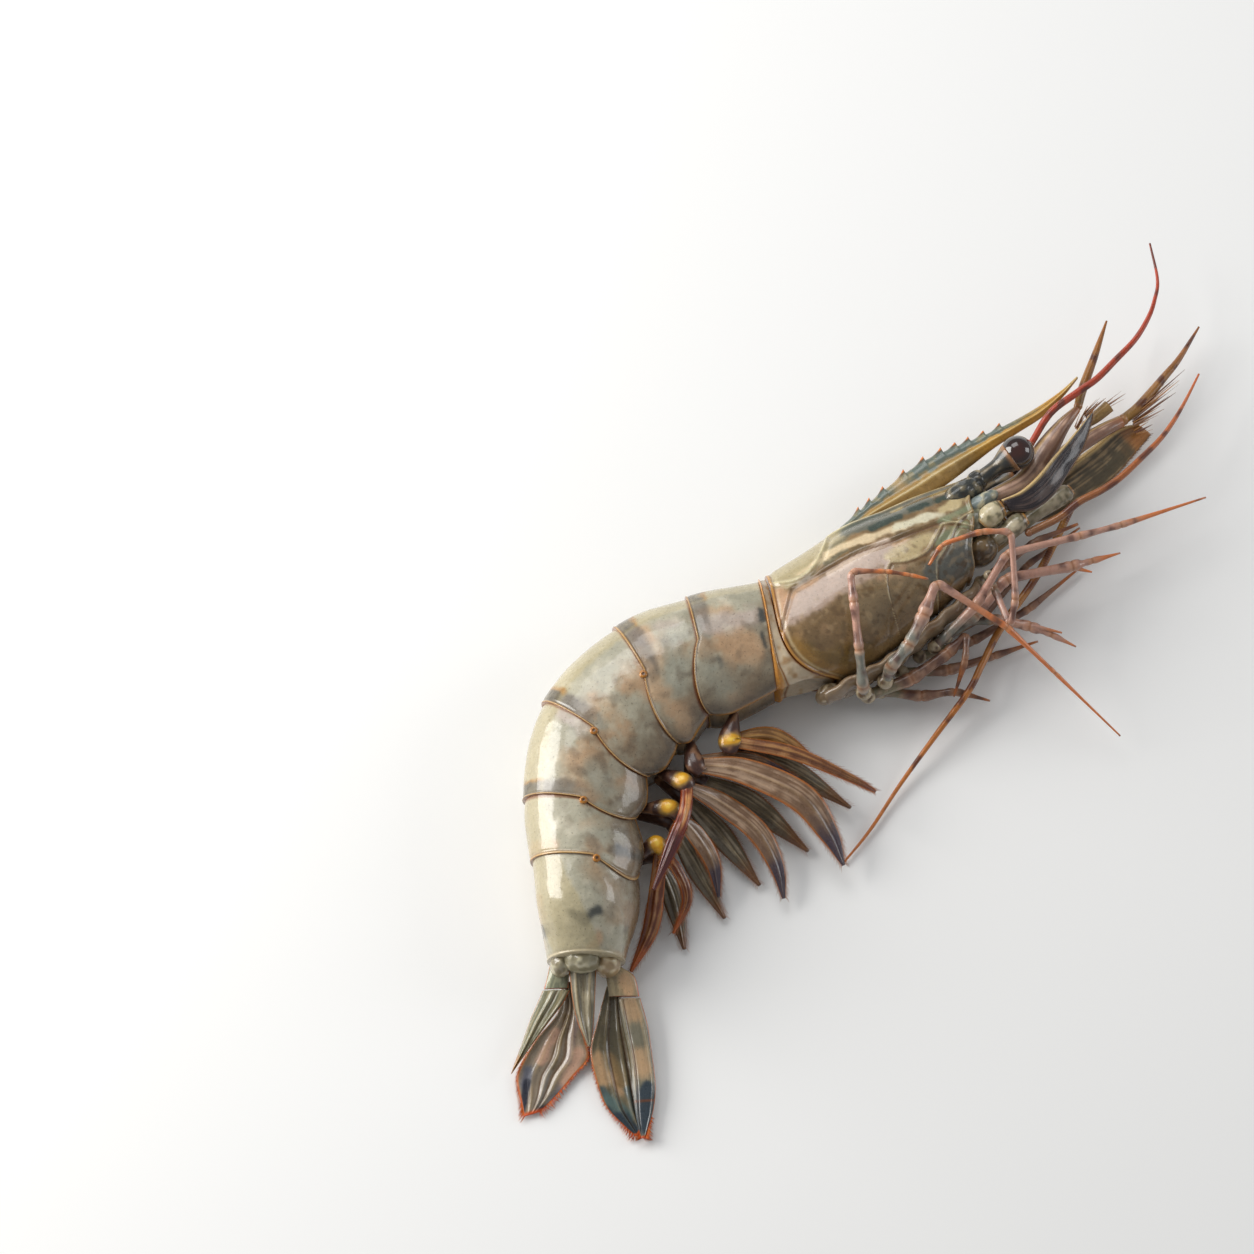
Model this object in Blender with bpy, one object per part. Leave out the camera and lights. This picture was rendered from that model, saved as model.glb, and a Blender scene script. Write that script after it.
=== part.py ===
"""Raw tiger prawn lying on its left side, head to the upper right, tail fan turned flat.

Sizes are in millimetres and become metres when a mesh is finished.
The head and its limbs are placed in a head frame: along the head, towards the back, height.
The tail fan is placed in a tail frame: behind the last ring, across the fan, height.
"""
import math

import bmesh
import bpy
from mathutils import Vector

MM = 0.001
GAP = 0.35
WELD = 0.001
UP = Vector((0.0, 0.0, 1.0))

# Middle of the footprint on the surface that the prawn lies on
FOOT_X = 1.46
FOOT_Y = 4.29

# Head frame
HEAD_X = -13.7
HEAD_Y = 15.3
HEAD_Z = 11.0
HEAD_TURN = math.radians(34.0)

# Tail frame, at the middle of the rear edge of the last ring
TAIL_X = -63.8
TAIL_Y = -65.0

# Abdomen stations: place on the chain of rings, centre x, y, z, direction of the back,
# half height, half width, roll towards the back
ABDOMEN = (
    (0.0, -21.4, 12.0, 11.0, 98.4, 15.3, 10.6, 4.0),
    (1.0, -37.5, 6.3, 11.8, 101.5, 16.3, 11.6, 6.0),
    (2.0, -49.5, -1.0, 12.0, 118.1, 17.5, 11.8, 8.0),
    (3.0, -61.2, -13.9, 12.0, 143.5, 16.3, 11.6, 10.0),
    (4.0, -64.8, -30.0, 11.6, 170.3, 14.0, 11.2, 14.0),
    (5.0, -63.9, -43.5, 11.4, 176.0, 13.0, 10.8, 24.0),
    (5.5, -63.5, -54.5, 11.0, 180.0, 12.2, 10.6, 48.0),
    (6.0, -63.8, -65.0, 8.3, 180.0, 8.2, 8.9, 74.0),
)
RING_COUNT = 6
RING_SIDES = 30
RING_ROWS = 6
TUCK = 0.965
RING_GAP = 0.75
LOBE_TUCK = 0.06
LOBE_SWING = 0.2
SIDE_SHARE = 0.42
SIDE_TURN = math.radians(158.0)
BELLY_RISE = 0.26

# Carapace stations: along the head, top, bottom, half width
CARAPACE = (
    (-9.0, 15.0, -15.4, 10.2),
    (0.0, 15.3, -16.0, 10.7),
    (12.0, 15.4, -17.0, 11.0),
    (24.0, 15.4, -15.7, 10.8),
    (33.0, 13.4, -14.5, 10.2),
    (42.0, 11.9, -12.6, 9.2),
    (50.0, 9.9, -9.2, 7.9),
    (57.0, 8.4, -5.0, 6.2),
)
CARAPACE_SIDES = 30
CARAPACE_ROWS = 14
REAR_BULGE = 7.8
REAR_TOP = 0.4
FRONT_REACH = 54.0
FRONT_RAKE = 13.0
REAR_HUB = -4.0
FRONT_HUB = 50.0

# Rostrum stations: along the head, top, bottom, half thickness
ROSTRUM = (
    (16.0, 14.9, 11.5, 1.5),
    (28.0, 16.5, 12.3, 1.6),
    (36.0, 17.6, 11.4, 1.6),
    (43.0, 18.4, 10.4, 1.6),
    (50.0, 18.4, 10.6, 1.5),
    (57.0, 17.2, 11.2, 1.4),
    (65.0, 15.8, 11.9, 1.2),
    (72.0, 15.0, 11.9, 1.1),
    (79.0, 14.7, 12.0, 0.9),
    (86.0, 15.0, 13.5, 0.6),
    (91.4, 15.9, 15.3, 0.35),
)
TEETH = (28.3, 31.8, 36.2, 42.7, 48.4, 53.2, 56.9, 60.3, 64.2, 68.5)
TOOTH_BACK = 2.6
TOOTH_FRONT = 0.4
TOOTH_RISE = 1.3

# Eyes in the head frame
EYE_RADIUS = 4.05
EYES = {"right": (66.1, 5.7, 18.4), "left": (66.1, 5.0, 4.3)}
STALKS = {"right": (54.9, 6.0, 15.2), "left": (54.9, 5.6, 6.8)}
STALK_RADIUS = 2.2

# Limbs in the head frame: along, towards the back, height, half width, half thickness
ANTENNULES = {
    "antennule_right": ((54.8, 1.2, 13.8, 1.9, 1.9), (65.0, 0.6, 13.2, 2.4, 2.1),
                        (73.0, 3.8, 13.0, 2.8, 2.1), (80.0, 6.6, 13.4, 1.9, 1.6),
                        (86.0, 8.4, 13.2, 0.9, 0.9)),
    "antennule_left": ((54.8, 1.0, 8.0, 1.9, 1.9), (66.0, -0.6, 8.4, 2.2, 2.0),
                       (77.0, 1.6, 9.0, 2.2, 1.6), (88.0, 1.8, 8.6, 1.8, 1.5),
                       (94.6, 1.6, 7.4, 1.5, 1.3)),
}
FLAGELLA = {
    "flagellum_long_right": ((71.4, 7.0, 14.4, 0.8), (79.3, 10.3, 16.0, 0.9),
                             (87.4, 11.0, 16.0, 0.9), (93.6, 11.4, 15.6, 0.85),
                             (100.3, 13.0, 15.0, 0.8), (107.6, 14.9, 14.5, 0.7),
                             (113.6, 17.8, 14.0, 0.6), (117.9, 21.0, 13.0, 0.5),
                             (121.9, 25.2, 12.4, 0.4), (126.2, 34.1, 11.6, 0.25)),
    "flagellum_short_right": ((86.6, 8.9, 13.0, 1.0), (90.3, 12.1, 12.6, 1.15),
                              (97.9, 17.6, 12.0, 0.9), (105.8, 23.6, 11.0, 0.25)),
    "flagellum_long_left": ((95.4, 1.7, 7.2, 1.3), (100.6, 2.4, 7.0, 1.3),
                            (110.2, 5.4, 6.4, 1.0), (116.2, 7.4, 6.0, 0.75),
                            (125.2, 11.6, 5.4, 0.25)),
    "flagellum_stub_left": ((86.5, 5.1, 9.2, 1.0), (89.5, 5.2, 9.6, 1.4), (93.6, 5.6, 10.2, 1.6)),
    "antenna_right": ((57.6, -11.3, 15.0, 0.95), (65.4, -12.3, 15.4, 0.95),
                      (71.8, -11.8, 15.6, 0.95), (77.8, -12.3, 15.4, 0.9),
                      (83.3, -12.1, 15.0, 0.85), (91.1, -10.6, 14.4, 0.75),
                      (97.7, -9.0, 13.6, 0.65), (103.4, -6.8, 13.0, 0.55),
                      (109.0, -4.0, 12.4, 0.4), (115.7, -0.2, 12.0, 0.25)),
    "antenna_left": ((72.0, -9.6, 7.6, 0.95), (56.8, -18.1, 5.6, 0.95),
                     (40.9, -24.6, 5.2, 0.9), (31.4, -30.0, 6.6, 0.85),
                     (24.7, -33.8, 7.2, 0.8), (12.3, -37.9, 4.4, 0.65),
                     (-0.5, -42.4, 2.0, 0.5), (-12.5, -47.4, 1.2, 0.4),
                     (-22.3, -50.5, 0.9, 0.25)),
}
ANTENNA_BASES = {
    "antenna_base_right": ((49.6, -3.7, 16.2, 2.1, 2.1), (51.2, -3.4, 17.0, 2.7, 2.6),
                           (53.5, -3.2, 17.2, 2.6, 2.5), (55.4, -3.4, 17.2, 2.0, 2.0)),
    "antenna_base_left": ((49.8, -3.7, 5.6, 2.0, 1.9), (51.5, -3.4, 5.0, 2.5, 2.2),
                          (55.5, -3.2, 5.0, 2.3, 2.1), (57.6, -3.2, 5.2, 1.8, 1.8)),
    "antenna_knob_right": ((49.4, -7.8, 12.6, 1.7, 1.7), (53.0, -8.0, 14.4, 2.0, 2.0),
                           (56.6, -8.2, 15.8, 2.4, 2.4), (58.9, -8.4, 16.2, 1.4, 1.4)),
    "antenna_knob_left": ((47.4, -8.2, 8.6, 1.7, 1.7), (62.0, -6.8, 8.8, 1.7, 1.7),
                          (71.6, -6.4, 8.8, 2.2, 2.0), (74.0, -6.3, 8.8, 1.4, 1.3)),
}
# Antennal scales: upper edge then lower edge, each along, towards the back, height
SCALES = {
    "antennal_scale_right": (((56.2, -1.7, 17.8), (56.4, -5.2, 17.0)),
                             ((60.8, -2.6, 18.4), (61.4, -7.6, 16.2)),
                             ((66.2, -1.8, 18.2), (68.0, -7.0, 15.4)),
                             ((72.4, 0.2, 17.8), (75.0, -3.9, 15.4)),
                             ((78.1, 1.8, 17.4), (80.2, -1.3, 15.4)),
                             ((83.6, 3.6, 16.8), (84.2, 1.6, 15.8)),
                             ((87.4, 4.8, 16.2), (87.4, 4.4, 16.0))),
    "antennal_scale_left": (((58.2, -1.6, 5.4), (58.4, -5.4, 4.6)),
                            ((66.0, -0.6, 4.8), (66.6, -8.0, 3.8)),
                            ((76.0, 0.2, 4.8), (76.4, -8.8, 3.8)),
                            ((86.0, 0.8, 5.0), (85.6, -8.2, 4.0)),
                            ((93.0, 1.4, 5.2), (93.6, -6.0, 4.2)),
                            ((98.0, -0.4, 5.2), (99.4, -4.2, 4.6))),
}
SCALE_THICK = 0.8

# Walking legs and jaw feet in the head frame: along, towards the back, height, radius
LEGS = {
    "leg_right_5": ((3.2, -21.6, 12.6, 1.5), (2.8, -21.4, 17.0, 1.5), (5.8, -15.1, 23.0, 1.2),
                    (10.5, -5.9, 27.0, 1.15), (13.7, 0.3, 29.0, 0.9), (20.4, -4.2, 29.0, 0.6),
                    (24.7, -8.2, 28.8, 0.5), (27.6, -11.4, 28.8, 0.3)),
    "leg_right_4": ((9.0, -22.0, 12.0, 1.5), (11.0, -21.2, 17.5, 1.5), (16.8, -20.0, 21.0, 1.5),
                    (23.0, -16.7, 24.0, 1.6), (29.4, -12.3, 26.0, 1.1), (38.2, -29.0, 20.0, 0.8),
                    (42.8, -42.8, 13.0, 0.5), (48.5, -62.1, 5.0, 0.22)),
    "leg_right_3": ((24.0, -20.9, 9.6, 1.3), (36.4, -19.6, 16.2, 1.2), (48.8, -13.9, 19.6, 1.0),
                    (66.4, -19.1, 16.6, 0.95), (76.7, -21.7, 14.4, 0.8), (99.3, -25.9, 9.0, 0.22)),
    "leg_right_2": ((28.4, -19.6, 7.0, 1.3), (36.6, -20.2, 10.8, 1.35), (46.8, -17.4, 13.8, 1.3),
                    (61.7, -23.3, 12.6, 1.3), (66.6, -24.6, 11.8, 0.75), (73.6, -26.5, 11.0, 0.2)),
    "leg_right_1": ((34.2, -18.8, 6.4, 1.2), (39.8, -22.6, 8.6, 1.3), (45.5, -29.5, 10.4, 1.2),
                    (48.4, -34.0, 10.4, 0.7), (51.6, -39.4, 9.6, 0.2)),
    "jaw_foot_right": ((43.6, -14.6, 14.6, 0.9), (42.6, -18.4, 15.2, 0.9), (39.8, -28.6, 17.2, 0.9),
                       (43.8, -24.6, 20.6, 0.9), (51.2, -11.8, 26.0, 0.85), (45.3, -8.2, 27.0, 0.75),
                       (35.7, -5.5, 26.6, 0.6), (30.6, -7.8, 25.4, 0.4)),
    "leg_left_5": ((4.4, -21.8, 8.6, 1.5), (15.1, -24.2, 9.0, 1.6), (25.6, -24.0, 9.8, 1.4),
                   (32.0, -22.6, 10.6, 0.9), (28.0, -27.8, 10.4, 0.8), (21.6, -32.6, 6.0, 0.25)),
    "leg_left_4": ((8.4, -21.8, 5.4, 1.4), (15.6, -28.0, 4.8, 1.3), (22.8, -31.4, 5.0, 0.9),
                   (28.6, -37.6, 3.6, 0.25)),
    "leg_left_3": ((15.0, -20.8, 5.4, 1.4), (24.6, -26.2, 4.6, 1.3), (36.0, -28.8, 2.8, 0.9),
                   (47.0, -31.4, 2.0, 0.25)),
    "leg_left_2": ((20.8, -19.8, 5.4, 1.3), (34.0, -23.0, 3.0, 1.1), (50.0, -23.6, 2.0, 0.9),
                   (66.0, -21.8, 1.8, 0.25)),
    "leg_left_1": ((26.6, -18.8, 3.8, 1.2), (40.0, -19.0, 2.2, 1.1), (56.0, -14.4, 2.4, 0.8),
                   (72.0, -13.6, 2.0, 0.25)),
    "jaw_foot_left": ((42.6, -13.2, 8.4, 1.1), (50.0, -13.0, 9.0, 1.1), (59.0, -12.6, 9.8, 0.9),
                      (70.0, -14.6, 9.6, 0.35)),
}
PINCERS = {
    "leg_right_2": ((61.6, -23.4, 12.4, 0.7), (64.9, -27.0, 12.2, 0.2)),
    "leg_right_1": ((45.6, -29.7, 11.0, 0.7), (50.4, -35.2, 11.4, 0.2)),
}
LEG_SIDES = 6
KNEE_REACH = 1.9
KNEE_SWELL = 1.12

# Strip under the carapace that carries the legs: along, half width
STERNUM = ((-5.0, 2.0), (0.0, 4.4), (20.0, 4.8), (36.0, 3.6), (41.0, 1.6))
STERNUM_DEPTH = 1.5

# Swimmerets: place of each pair on the chain of rings, and share round the ring of its root
SWIMMERET_PLACES = (0.62, 1.66, 2.68, 3.7, 4.7)
SWIMMERET_SHARE = 0.46
SWIMMERET_ROOT = 1.0
# Their bases and blades in plan: x, y, height, half width, half thickness
SWIMMERETS = {
    "swimmeret_right_1": (
        ((-31.2, -11.2, 13.6, 2.2, 1.6), (-30.4, -13.4, 13.8, 2.8, 1.7),
         (-28.2, -14.6, 13.8, 1.6, 1.2)),
        ((-29.4, -13.6, 14.0, 1.4, 0.7), (-16.0, -15.9, 13.0, 1.7, 0.6),
         (-2.5, -21.4, 11.0, 1.0, 0.4), (3.5, -24.5, 10.0, 0.25, 0.2)),
        ((-30.0, -12.4, 12.9, 1.2, 0.7), (-20.0, -11.6, 10.6, 2.6, 0.6),
         (-9.3, -17.4, 8.6, 0.5, 0.3)),
    ),
    "swimmeret_right_2": (
        ((-39.8, -18.6, 14.6, 2.2, 1.6), (-38.6, -18.9, 14.6, 2.3, 1.6),
         (-36.8, -21.2, 14.5, 1.6, 1.2)),
        ((-37.4, -19.6, 14.6, 1.8, 0.9), (-27.0, -20.6, 13.4, 3.2, 0.7),
         (-14.0, -26.0, 10.8, 3.6, 0.6), (-7.4, -34.0, 7.6, 2.4, 0.5),
         (-4.0, -41.0, 5.6, 0.4, 0.3)),
        ((-38.8, -17.9, 13.8, 1.0, 0.6), (-26.0, -16.8, 10.0, 2.0, 0.6),
         (-14.6, -20.4, 7.6, 0.5, 0.3)),
    ),
    "swimmeret_right_3": (
        ((-43.2, -22.0, 14.4, 2.0, 1.6), (-41.6, -23.6, 15.0, 2.3, 1.8),
         (-39.6, -25.4, 14.8, 1.7, 1.4)),
        ((-40.4, -24.8, 15.0, 1.4, 0.9), (-41.0, -32.0, 17.2, 1.5, 0.8),
         (-44.0, -40.0, 17.0, 1.5, 0.6), (-48.2, -50.0, 15.6, 0.4, 0.3)),
        ((-40.2, -24.8, 14.4, 1.4, 0.9), (-32.4, -27.4, 10.2, 2.6, 0.7),
         (-24.0, -33.4, 7.6, 2.6, 0.6), (-19.6, -41.0, 5.2, 1.8, 0.5),
         (-17.9, -48.3, 3.2, 0.4, 0.3)),
    ),
    "swimmeret_right_4": (
        ((-46.6, -27.8, 12.8, 1.8, 1.6), (-44.8, -29.4, 13.2, 2.2, 1.8),
         (-42.4, -31.0, 12.6, 1.6, 1.4)),
        ((-43.2, -30.8, 12.6, 1.3, 0.9), (-38.4, -34.6, 9.2, 2.2, 0.7),
         (-34.4, -40.6, 6.2, 1.8, 0.5), (-33.0, -48.0, 3.4, 0.4, 0.3)),
    ),
    "swimmeret_right_5": (
        ((-49.6, -36.0, 11.4, 1.8, 1.6), (-47.8, -37.8, 11.8, 2.1, 1.8),
         (-45.6, -39.6, 11.4, 1.6, 1.4)),
        ((-46.6, -39.2, 11.4, 1.3, 0.8), (-42.6, -43.8, 10.4, 1.3, 0.6),
         (-40.4, -50.0, 7.6, 1.1, 0.5), (-43.6, -57.0, 4.0, 0.3, 0.3)),
        ((-46.6, -39.0, 10.8, 1.4, 0.8), (-47.4, -47.6, 8.0, 1.8, 0.7),
         (-49.0, -57.0, 6.2, 1.8, 0.6), (-53.4, -66.0, 3.4, 0.4, 0.3)),
    ),
    "swimmeret_left_1": (
        ((-31.4, -11.0, 8.0, 2.2, 1.6), (-29.6, -13.2, 7.6, 2.6, 1.7),
         (-27.4, -14.6, 7.2, 1.6, 1.2)),
        ((-29.0, -13.3, 7.3, 1.3, 0.8), (-16.0, -17.6, 5.2, 2.8, 0.6),
         (-2.0, -26.0, 2.6, 0.4, 0.3)),
    ),
    "swimmeret_left_2": (
        ((-40.2, -18.4, 8.0, 2.2, 1.6), (-38.4, -19.8, 7.6, 2.4, 1.7),
         (-36.0, -21.4, 7.0, 1.7, 1.3)),
        ((-37.4, -20.6, 7.2, 1.6, 0.8), (-25.0, -26.0, 4.2, 3.2, 0.6),
         (-12.0, -36.4, 1.8, 0.4, 0.3)),
    ),
    "swimmeret_left_3": (
        ((-43.6, -22.0, 8.0, 2.0, 1.6), (-41.8, -24.0, 7.6, 2.3, 1.8),
         (-39.8, -26.4, 7.0, 1.6, 1.4)),
        ((-40.8, -25.4, 7.2, 1.4, 0.8), (-32.4, -33.2, 3.8, 2.8, 0.6),
         (-23.4, -44.6, 1.4, 0.4, 0.3)),
    ),
    "swimmeret_left_4": (
        ((-46.8, -27.8, 7.4, 1.8, 1.6), (-45.0, -30.2, 7.2, 2.2, 1.8),
         (-43.0, -32.4, 6.4, 1.6, 1.4)),
        ((-44.0, -31.4, 6.8, 1.3, 0.8), (-37.8, -41.4, 3.4, 2.6, 0.6),
         (-31.6, -52.6, 1.4, 0.4, 0.3)),
    ),
    "swimmeret_left_5": (
        ((-49.6, -36.0, 6.4, 1.8, 1.6), (-48.0, -38.6, 6.2, 2.1, 1.8),
         (-46.0, -41.0, 5.6, 1.6, 1.4)),
        ((-47.0, -40.0, 6.0, 1.3, 0.8), (-43.4, -49.0, 3.2, 2.4, 0.6),
         (-41.0, -60.0, 1.2, 0.4, 0.3)),
    ),
}

# Tail fan in the tail frame: left edge then right edge, each behind, across, height
FAN = {
    "telson": (((0.35, -4.2, 9.0), (0.35, 2.6, 9.0)), ((4.0, -3.6, 8.4), (4.0, 2.4, 8.4)),
               ((9.0, -3.0, 7.6), (9.0, 2.2, 7.6)), ((14.0, -1.8, 6.8), (14.0, 1.9, 6.8)),
               ((19.6, 0.5, 6.0), (19.6, 1.3, 6.0))),
    "fan_root_right": (((0.35, 3.6, 5.4), (0.35, 8.0, 5.4)), ((3.0, 4.6, 5.6), (2.6, 11.2, 5.2)),
                       ((7.4, 5.4, 5.2), (7.2, 12.4, 4.6))),
    "fan_root_left": (((0.35, -8.4, 5.4), (0.35, -3.6, 5.4)), ((3.0, -8.9, 5.4), (3.0, -3.8, 5.6)),
                      ((5.6, -9.6, 5.0), (5.4, -4.0, 5.2))),
    "fan_outer_right": (((7.9, 7.6, 4.8), (7.7, 12.6, 4.6)), ((14.0, 8.6, 4.2), (14.0, 14.3, 4.0)),
                        ((21.5, 10.2, 3.5), (21.5, 15.4, 3.4)),
                        ((28.0, 10.9, 2.9), (28.0, 16.1, 2.8)),
                        ((34.0, 11.4, 2.5), (33.4, 15.6, 2.4)),
                        ((38.0, 12.2, 2.2), (37.6, 14.4, 2.2)),
                        ((40.6, 13.0, 2.0), (40.6, 13.4, 2.0))),
    "fan_inner_right": (((4.4, 4.8, 3.0), (4.4, 7.6, 3.0)), ((13.3, 2.5, 3.0), (13.3, 9.4, 2.6)),
                        ((19.6, 1.1, 2.2), (19.6, 11.2, 1.8)),
                        ((26.5, 2.5, 1.6), (26.5, 12.4, 1.3)),
                        ((32.5, 4.8, 1.2), (32.5, 13.0, 0.9)),
                        ((37.0, 9.0, 0.9), (37.0, 13.2, 0.8)),
                        ((39.6, 12.0, 0.8), (39.6, 12.8, 0.8))),
    "fan_outer_left": (((6.0, -9.9, 5.0), (6.0, -3.6, 5.2)), ((9.0, -11.2, 4.7), (9.0, -5.2, 4.9)),
                       ((13.0, -12.9, 4.2), (13.0, -8.2, 4.4)),
                       ((18.0, -14.6, 3.6), (17.0, -11.2, 3.8)),
                       ((22.5, -16.2, 3.1), (21.5, -14.4, 3.2)),
                       ((25.2, -17.1, 2.9), (25.0, -16.8, 2.9))),
    "fan_inner_left": (((3.4, -5.6, 3.0), (3.4, -2.6, 3.1)), ((10.4, -6.4, 2.8), (10.4, -1.2, 3.0)),
                       ((16.5, -11.2, 2.1), (16.5, -0.2, 2.3)),
                       ((21.4, -14.2, 1.6), (21.0, 0.6, 1.8)),
                       ((26.0, -15.8, 1.2), (25.0, -2.6, 1.4)),
                       ((31.5, -14.7, 1.0), (29.5, -6.4, 1.1)),
                       ((35.6, -13.7, 0.8), (35.0, -12.0, 0.8))),
}
FAN_THICK = {"telson": 1.5, "fan_root_right": 1.5, "fan_root_left": 1.5}
BLADE_THICK = 0.6

# Colour, roughness and metallic value of each kind of piece
FINISHES = {
    "shell": ((0.36, 0.34, 0.27, 1.0), 0.28, 0.0),
    "head_shell": ((0.27, 0.23, 0.15, 1.0), 0.28, 0.0),
    "flesh": ((0.60, 0.48, 0.36, 1.0), 0.40, 0.0),
    "eye": ((0.02, 0.01, 0.01, 1.0), 0.08, 0.0),
    "limb": ((0.45, 0.24, 0.17, 1.0), 0.35, 0.0),
    "whip": ((0.42, 0.12, 0.04, 1.0), 0.35, 0.0),
    "blade": ((0.20, 0.15, 0.10, 1.0), 0.32, 0.0),
    "swimmeret": ((0.30, 0.15, 0.07, 1.0), 0.35, 0.0),
}


def head_point(along, back, height):
    """Point of the head frame in the part's frame, in millimetres."""
    x = HEAD_X + along * math.cos(HEAD_TURN) - back * math.sin(HEAD_TURN) - FOOT_X
    y = HEAD_Y + along * math.sin(HEAD_TURN) + back * math.cos(HEAD_TURN) - FOOT_Y
    return Vector((x, y, height))


def plan_point(x, y, height):
    """Point given in plan in the part's frame, in millimetres."""
    return Vector((x - FOOT_X, y - FOOT_Y, height))


def tail_point(behind, across, height):
    """Point of the tail frame in the part's frame, in millimetres."""
    return plan_point(TAIL_X + across, TAIL_Y - behind, height)


def along_table(rows, place):
    """Values of a table of rows at a place, by smooth interpolation on its first column."""
    last = len(rows) - 1
    i = 0
    while i < last - 1 and place > rows[i + 1][0]:
        i += 1
    start = rows[i]
    stop = rows[i + 1]
    before = rows[max(i - 1, 0)]
    after = rows[min(i + 2, last)]
    span = stop[0] - start[0]
    t = (place - start[0]) / span
    values = []
    for column in range(1, len(start)):
        slope_in = (stop[column] - before[column]) / (stop[0] - before[0]) * span
        slope_out = (after[column] - start[column]) / (after[0] - start[0]) * span
        value = (2 * t ** 3 - 3 * t ** 2 + 1) * start[column]
        value += (t ** 3 - 2 * t ** 2 + t) * slope_in
        value += (3 * t ** 2 - 2 * t ** 3) * stop[column]
        value += (t ** 3 - t ** 2) * slope_out
        values.append(value)
    return values


def indexed(rows):
    """Rows with their own index as the first column."""
    return [(float(i),) + tuple(row) for i, row in enumerate(rows)]


def material(kind):
    """Principled material of one kind of piece."""
    found = bpy.data.materials.get(kind)
    if found:
        return found
    colour, roughness, metallic = FINISHES[kind]
    made = bpy.data.materials.new(kind)
    made.use_nodes = True
    shader = made.node_tree.nodes["Principled BSDF"]
    shader.inputs["Base Color"].default_value = colour
    shader.inputs["Roughness"].default_value = roughness
    shader.inputs["Metallic"].default_value = metallic
    return made


def closed_tube(surface, rows, sides, hubs=(None, None)):
    """Mesh of a closed tube: surface(u, v) gives its rings, hubs the middles of its two ends."""
    bm = bmesh.new()
    bmesh.ops.create_grid(bm, x_segments=rows, y_segments=sides, size=0.5)
    for vert in bm.verts:
        vert.co = surface(vert.co.x + 0.5, (vert.co.y + 0.5) % 1.0)
        vert.co.z = max(vert.co.z, 0.0)
    bmesh.ops.remove_doubles(bm, verts=bm.verts, dist=WELD)
    rim = [edge for edge in bm.edges if edge.is_boundary]
    start = surface(0.0, 0.0)
    ends = bmesh.ops.holes_fill(bm, edges=rim, sides=0)["faces"]
    ends.sort(key=lambda face: min((vert.co - start).length for vert in face.verts))
    for face, hub in zip(ends, hubs):
        made = bmesh.ops.poke(bm, faces=[face])["verts"][0]
        if hub is not None:
            made.co = hub
    bmesh.ops.recalc_face_normals(bm, faces=bm.faces)
    if bm.calc_volume(signed=True) < 0.0:
        bmesh.ops.reverse_faces(bm, faces=bm.faces)
    bmesh.ops.scale(bm, vec=(MM, MM, MM), verts=bm.verts)
    return bm


def add_object(name, bm, kind):
    """Object of a finished mesh, shaded smooth, with its material."""
    mesh = bpy.data.meshes.new(name)
    bm.to_mesh(mesh)
    bm.free()
    mesh.shade_smooth()
    mesh.materials.append(material(kind))
    made = bpy.data.objects.new(name, mesh)
    bpy.context.scene.collection.objects.link(made)
    return made


def join_parts(host, others):
    """Fuse other objects into the host by one union, applied, and remove them."""
    group = bpy.data.collections.new(host.name + "_parts")
    for other in others:
        group.objects.link(other)
    union = host.modifiers.new("union", "BOOLEAN")
    union.operation = "UNION"
    union.operand_type = "COLLECTION"
    union.collection = group
    mesh = None
    for solver in ("EXACT", "MANIFOLD"):
        union.solver = solver
        bpy.context.view_layer.update()
        ready = host.evaluated_get(bpy.context.evaluated_depsgraph_get())
        mesh = bpy.data.meshes.new_from_object(ready)
        if mesh.polygons:
            break
    host.modifiers.clear()
    host.data = mesh
    for other in others:
        bpy.data.objects.remove(other)
    bpy.data.collections.remove(group)


def ring_section(place, v, tuck, depth):
    """Point of the abdomen's outline at a place on the chain, v going once round it."""
    x, y, z, back_turn, high, wide, roll = along_table(ABDOMEN, place)
    side = 1.0
    w = v
    if v > 0.5:
        side = -1.0
        w = 1.0 - v
    turn = min(w / SIDE_SHARE, 1.0) * SIDE_TURN
    across = wide * math.sin(turn) ** (1.0 if turn < math.pi / 2 else 0.62)
    rise = high * math.cos(turn)
    if turn > math.pi / 2:
        rise *= depth / abs(math.cos(SIDE_TURN)) * (1.0 - 0.5 * (1.0 - depth))
    if w > SIDE_SHARE:
        inward = (w - SIDE_SHARE) / (0.5 - SIDE_SHARE)
        across *= (1.0 - inward) * 0.88
        rise *= 1.0 - BELLY_RISE * math.sin(inward * math.pi / 2)
    across *= side * tuck
    rise *= tuck
    roll = math.radians(roll)
    flat = rise * math.cos(roll) - across * math.sin(roll)
    height = z + rise * math.sin(roll) + across * math.cos(roll)
    back = math.radians(back_turn)
    return plan_point(x + flat * math.cos(back), y + flat * math.sin(back), height)


def ring_border(ring, v):
    """Place of the border behind a ring on the chain, at side v and share of the radius."""
    w = min(v, 1.0 - v) / SIDE_SHARE
    if ring in (0, RING_COUNT):
        return float(ring)
    swing = LOBE_SWING * math.sin(math.pi * min(max((w - 0.5) / 0.5, 0.0), 1.0)) ** 0.8
    return ring + swing


def ring_spacing(place, v):
    """Millimetres of surface for one step of the chain at side v."""
    low = max(place - 0.25, 0.0)
    high = min(place + 0.25, float(RING_COUNT))
    step = ring_section(high, v, 1.0, 1.0) - ring_section(low, v, 1.0, 1.0)
    return step.length / (high - low)


def ring_surface(ring):
    """Surface of one ring of the abdomen, from its front border to its rear border."""
    def surface(u, v):
        front = ring_border(ring - 1, v) + RING_GAP / ring_spacing(ring - 1, v)
        rear = ring_border(ring, v)
        place = front + (rear - front) * u
        tuck = TUCK + (1.0 - TUCK) * math.sin(u * math.pi / 2)
        depth = 1.0 - LOBE_TUCK * (1.0 - u) ** 2
        if ring == RING_COUNT:
            depth = 1.0 - LOBE_TUCK
        return ring_section(place, v, tuck, depth)
    return surface


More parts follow.
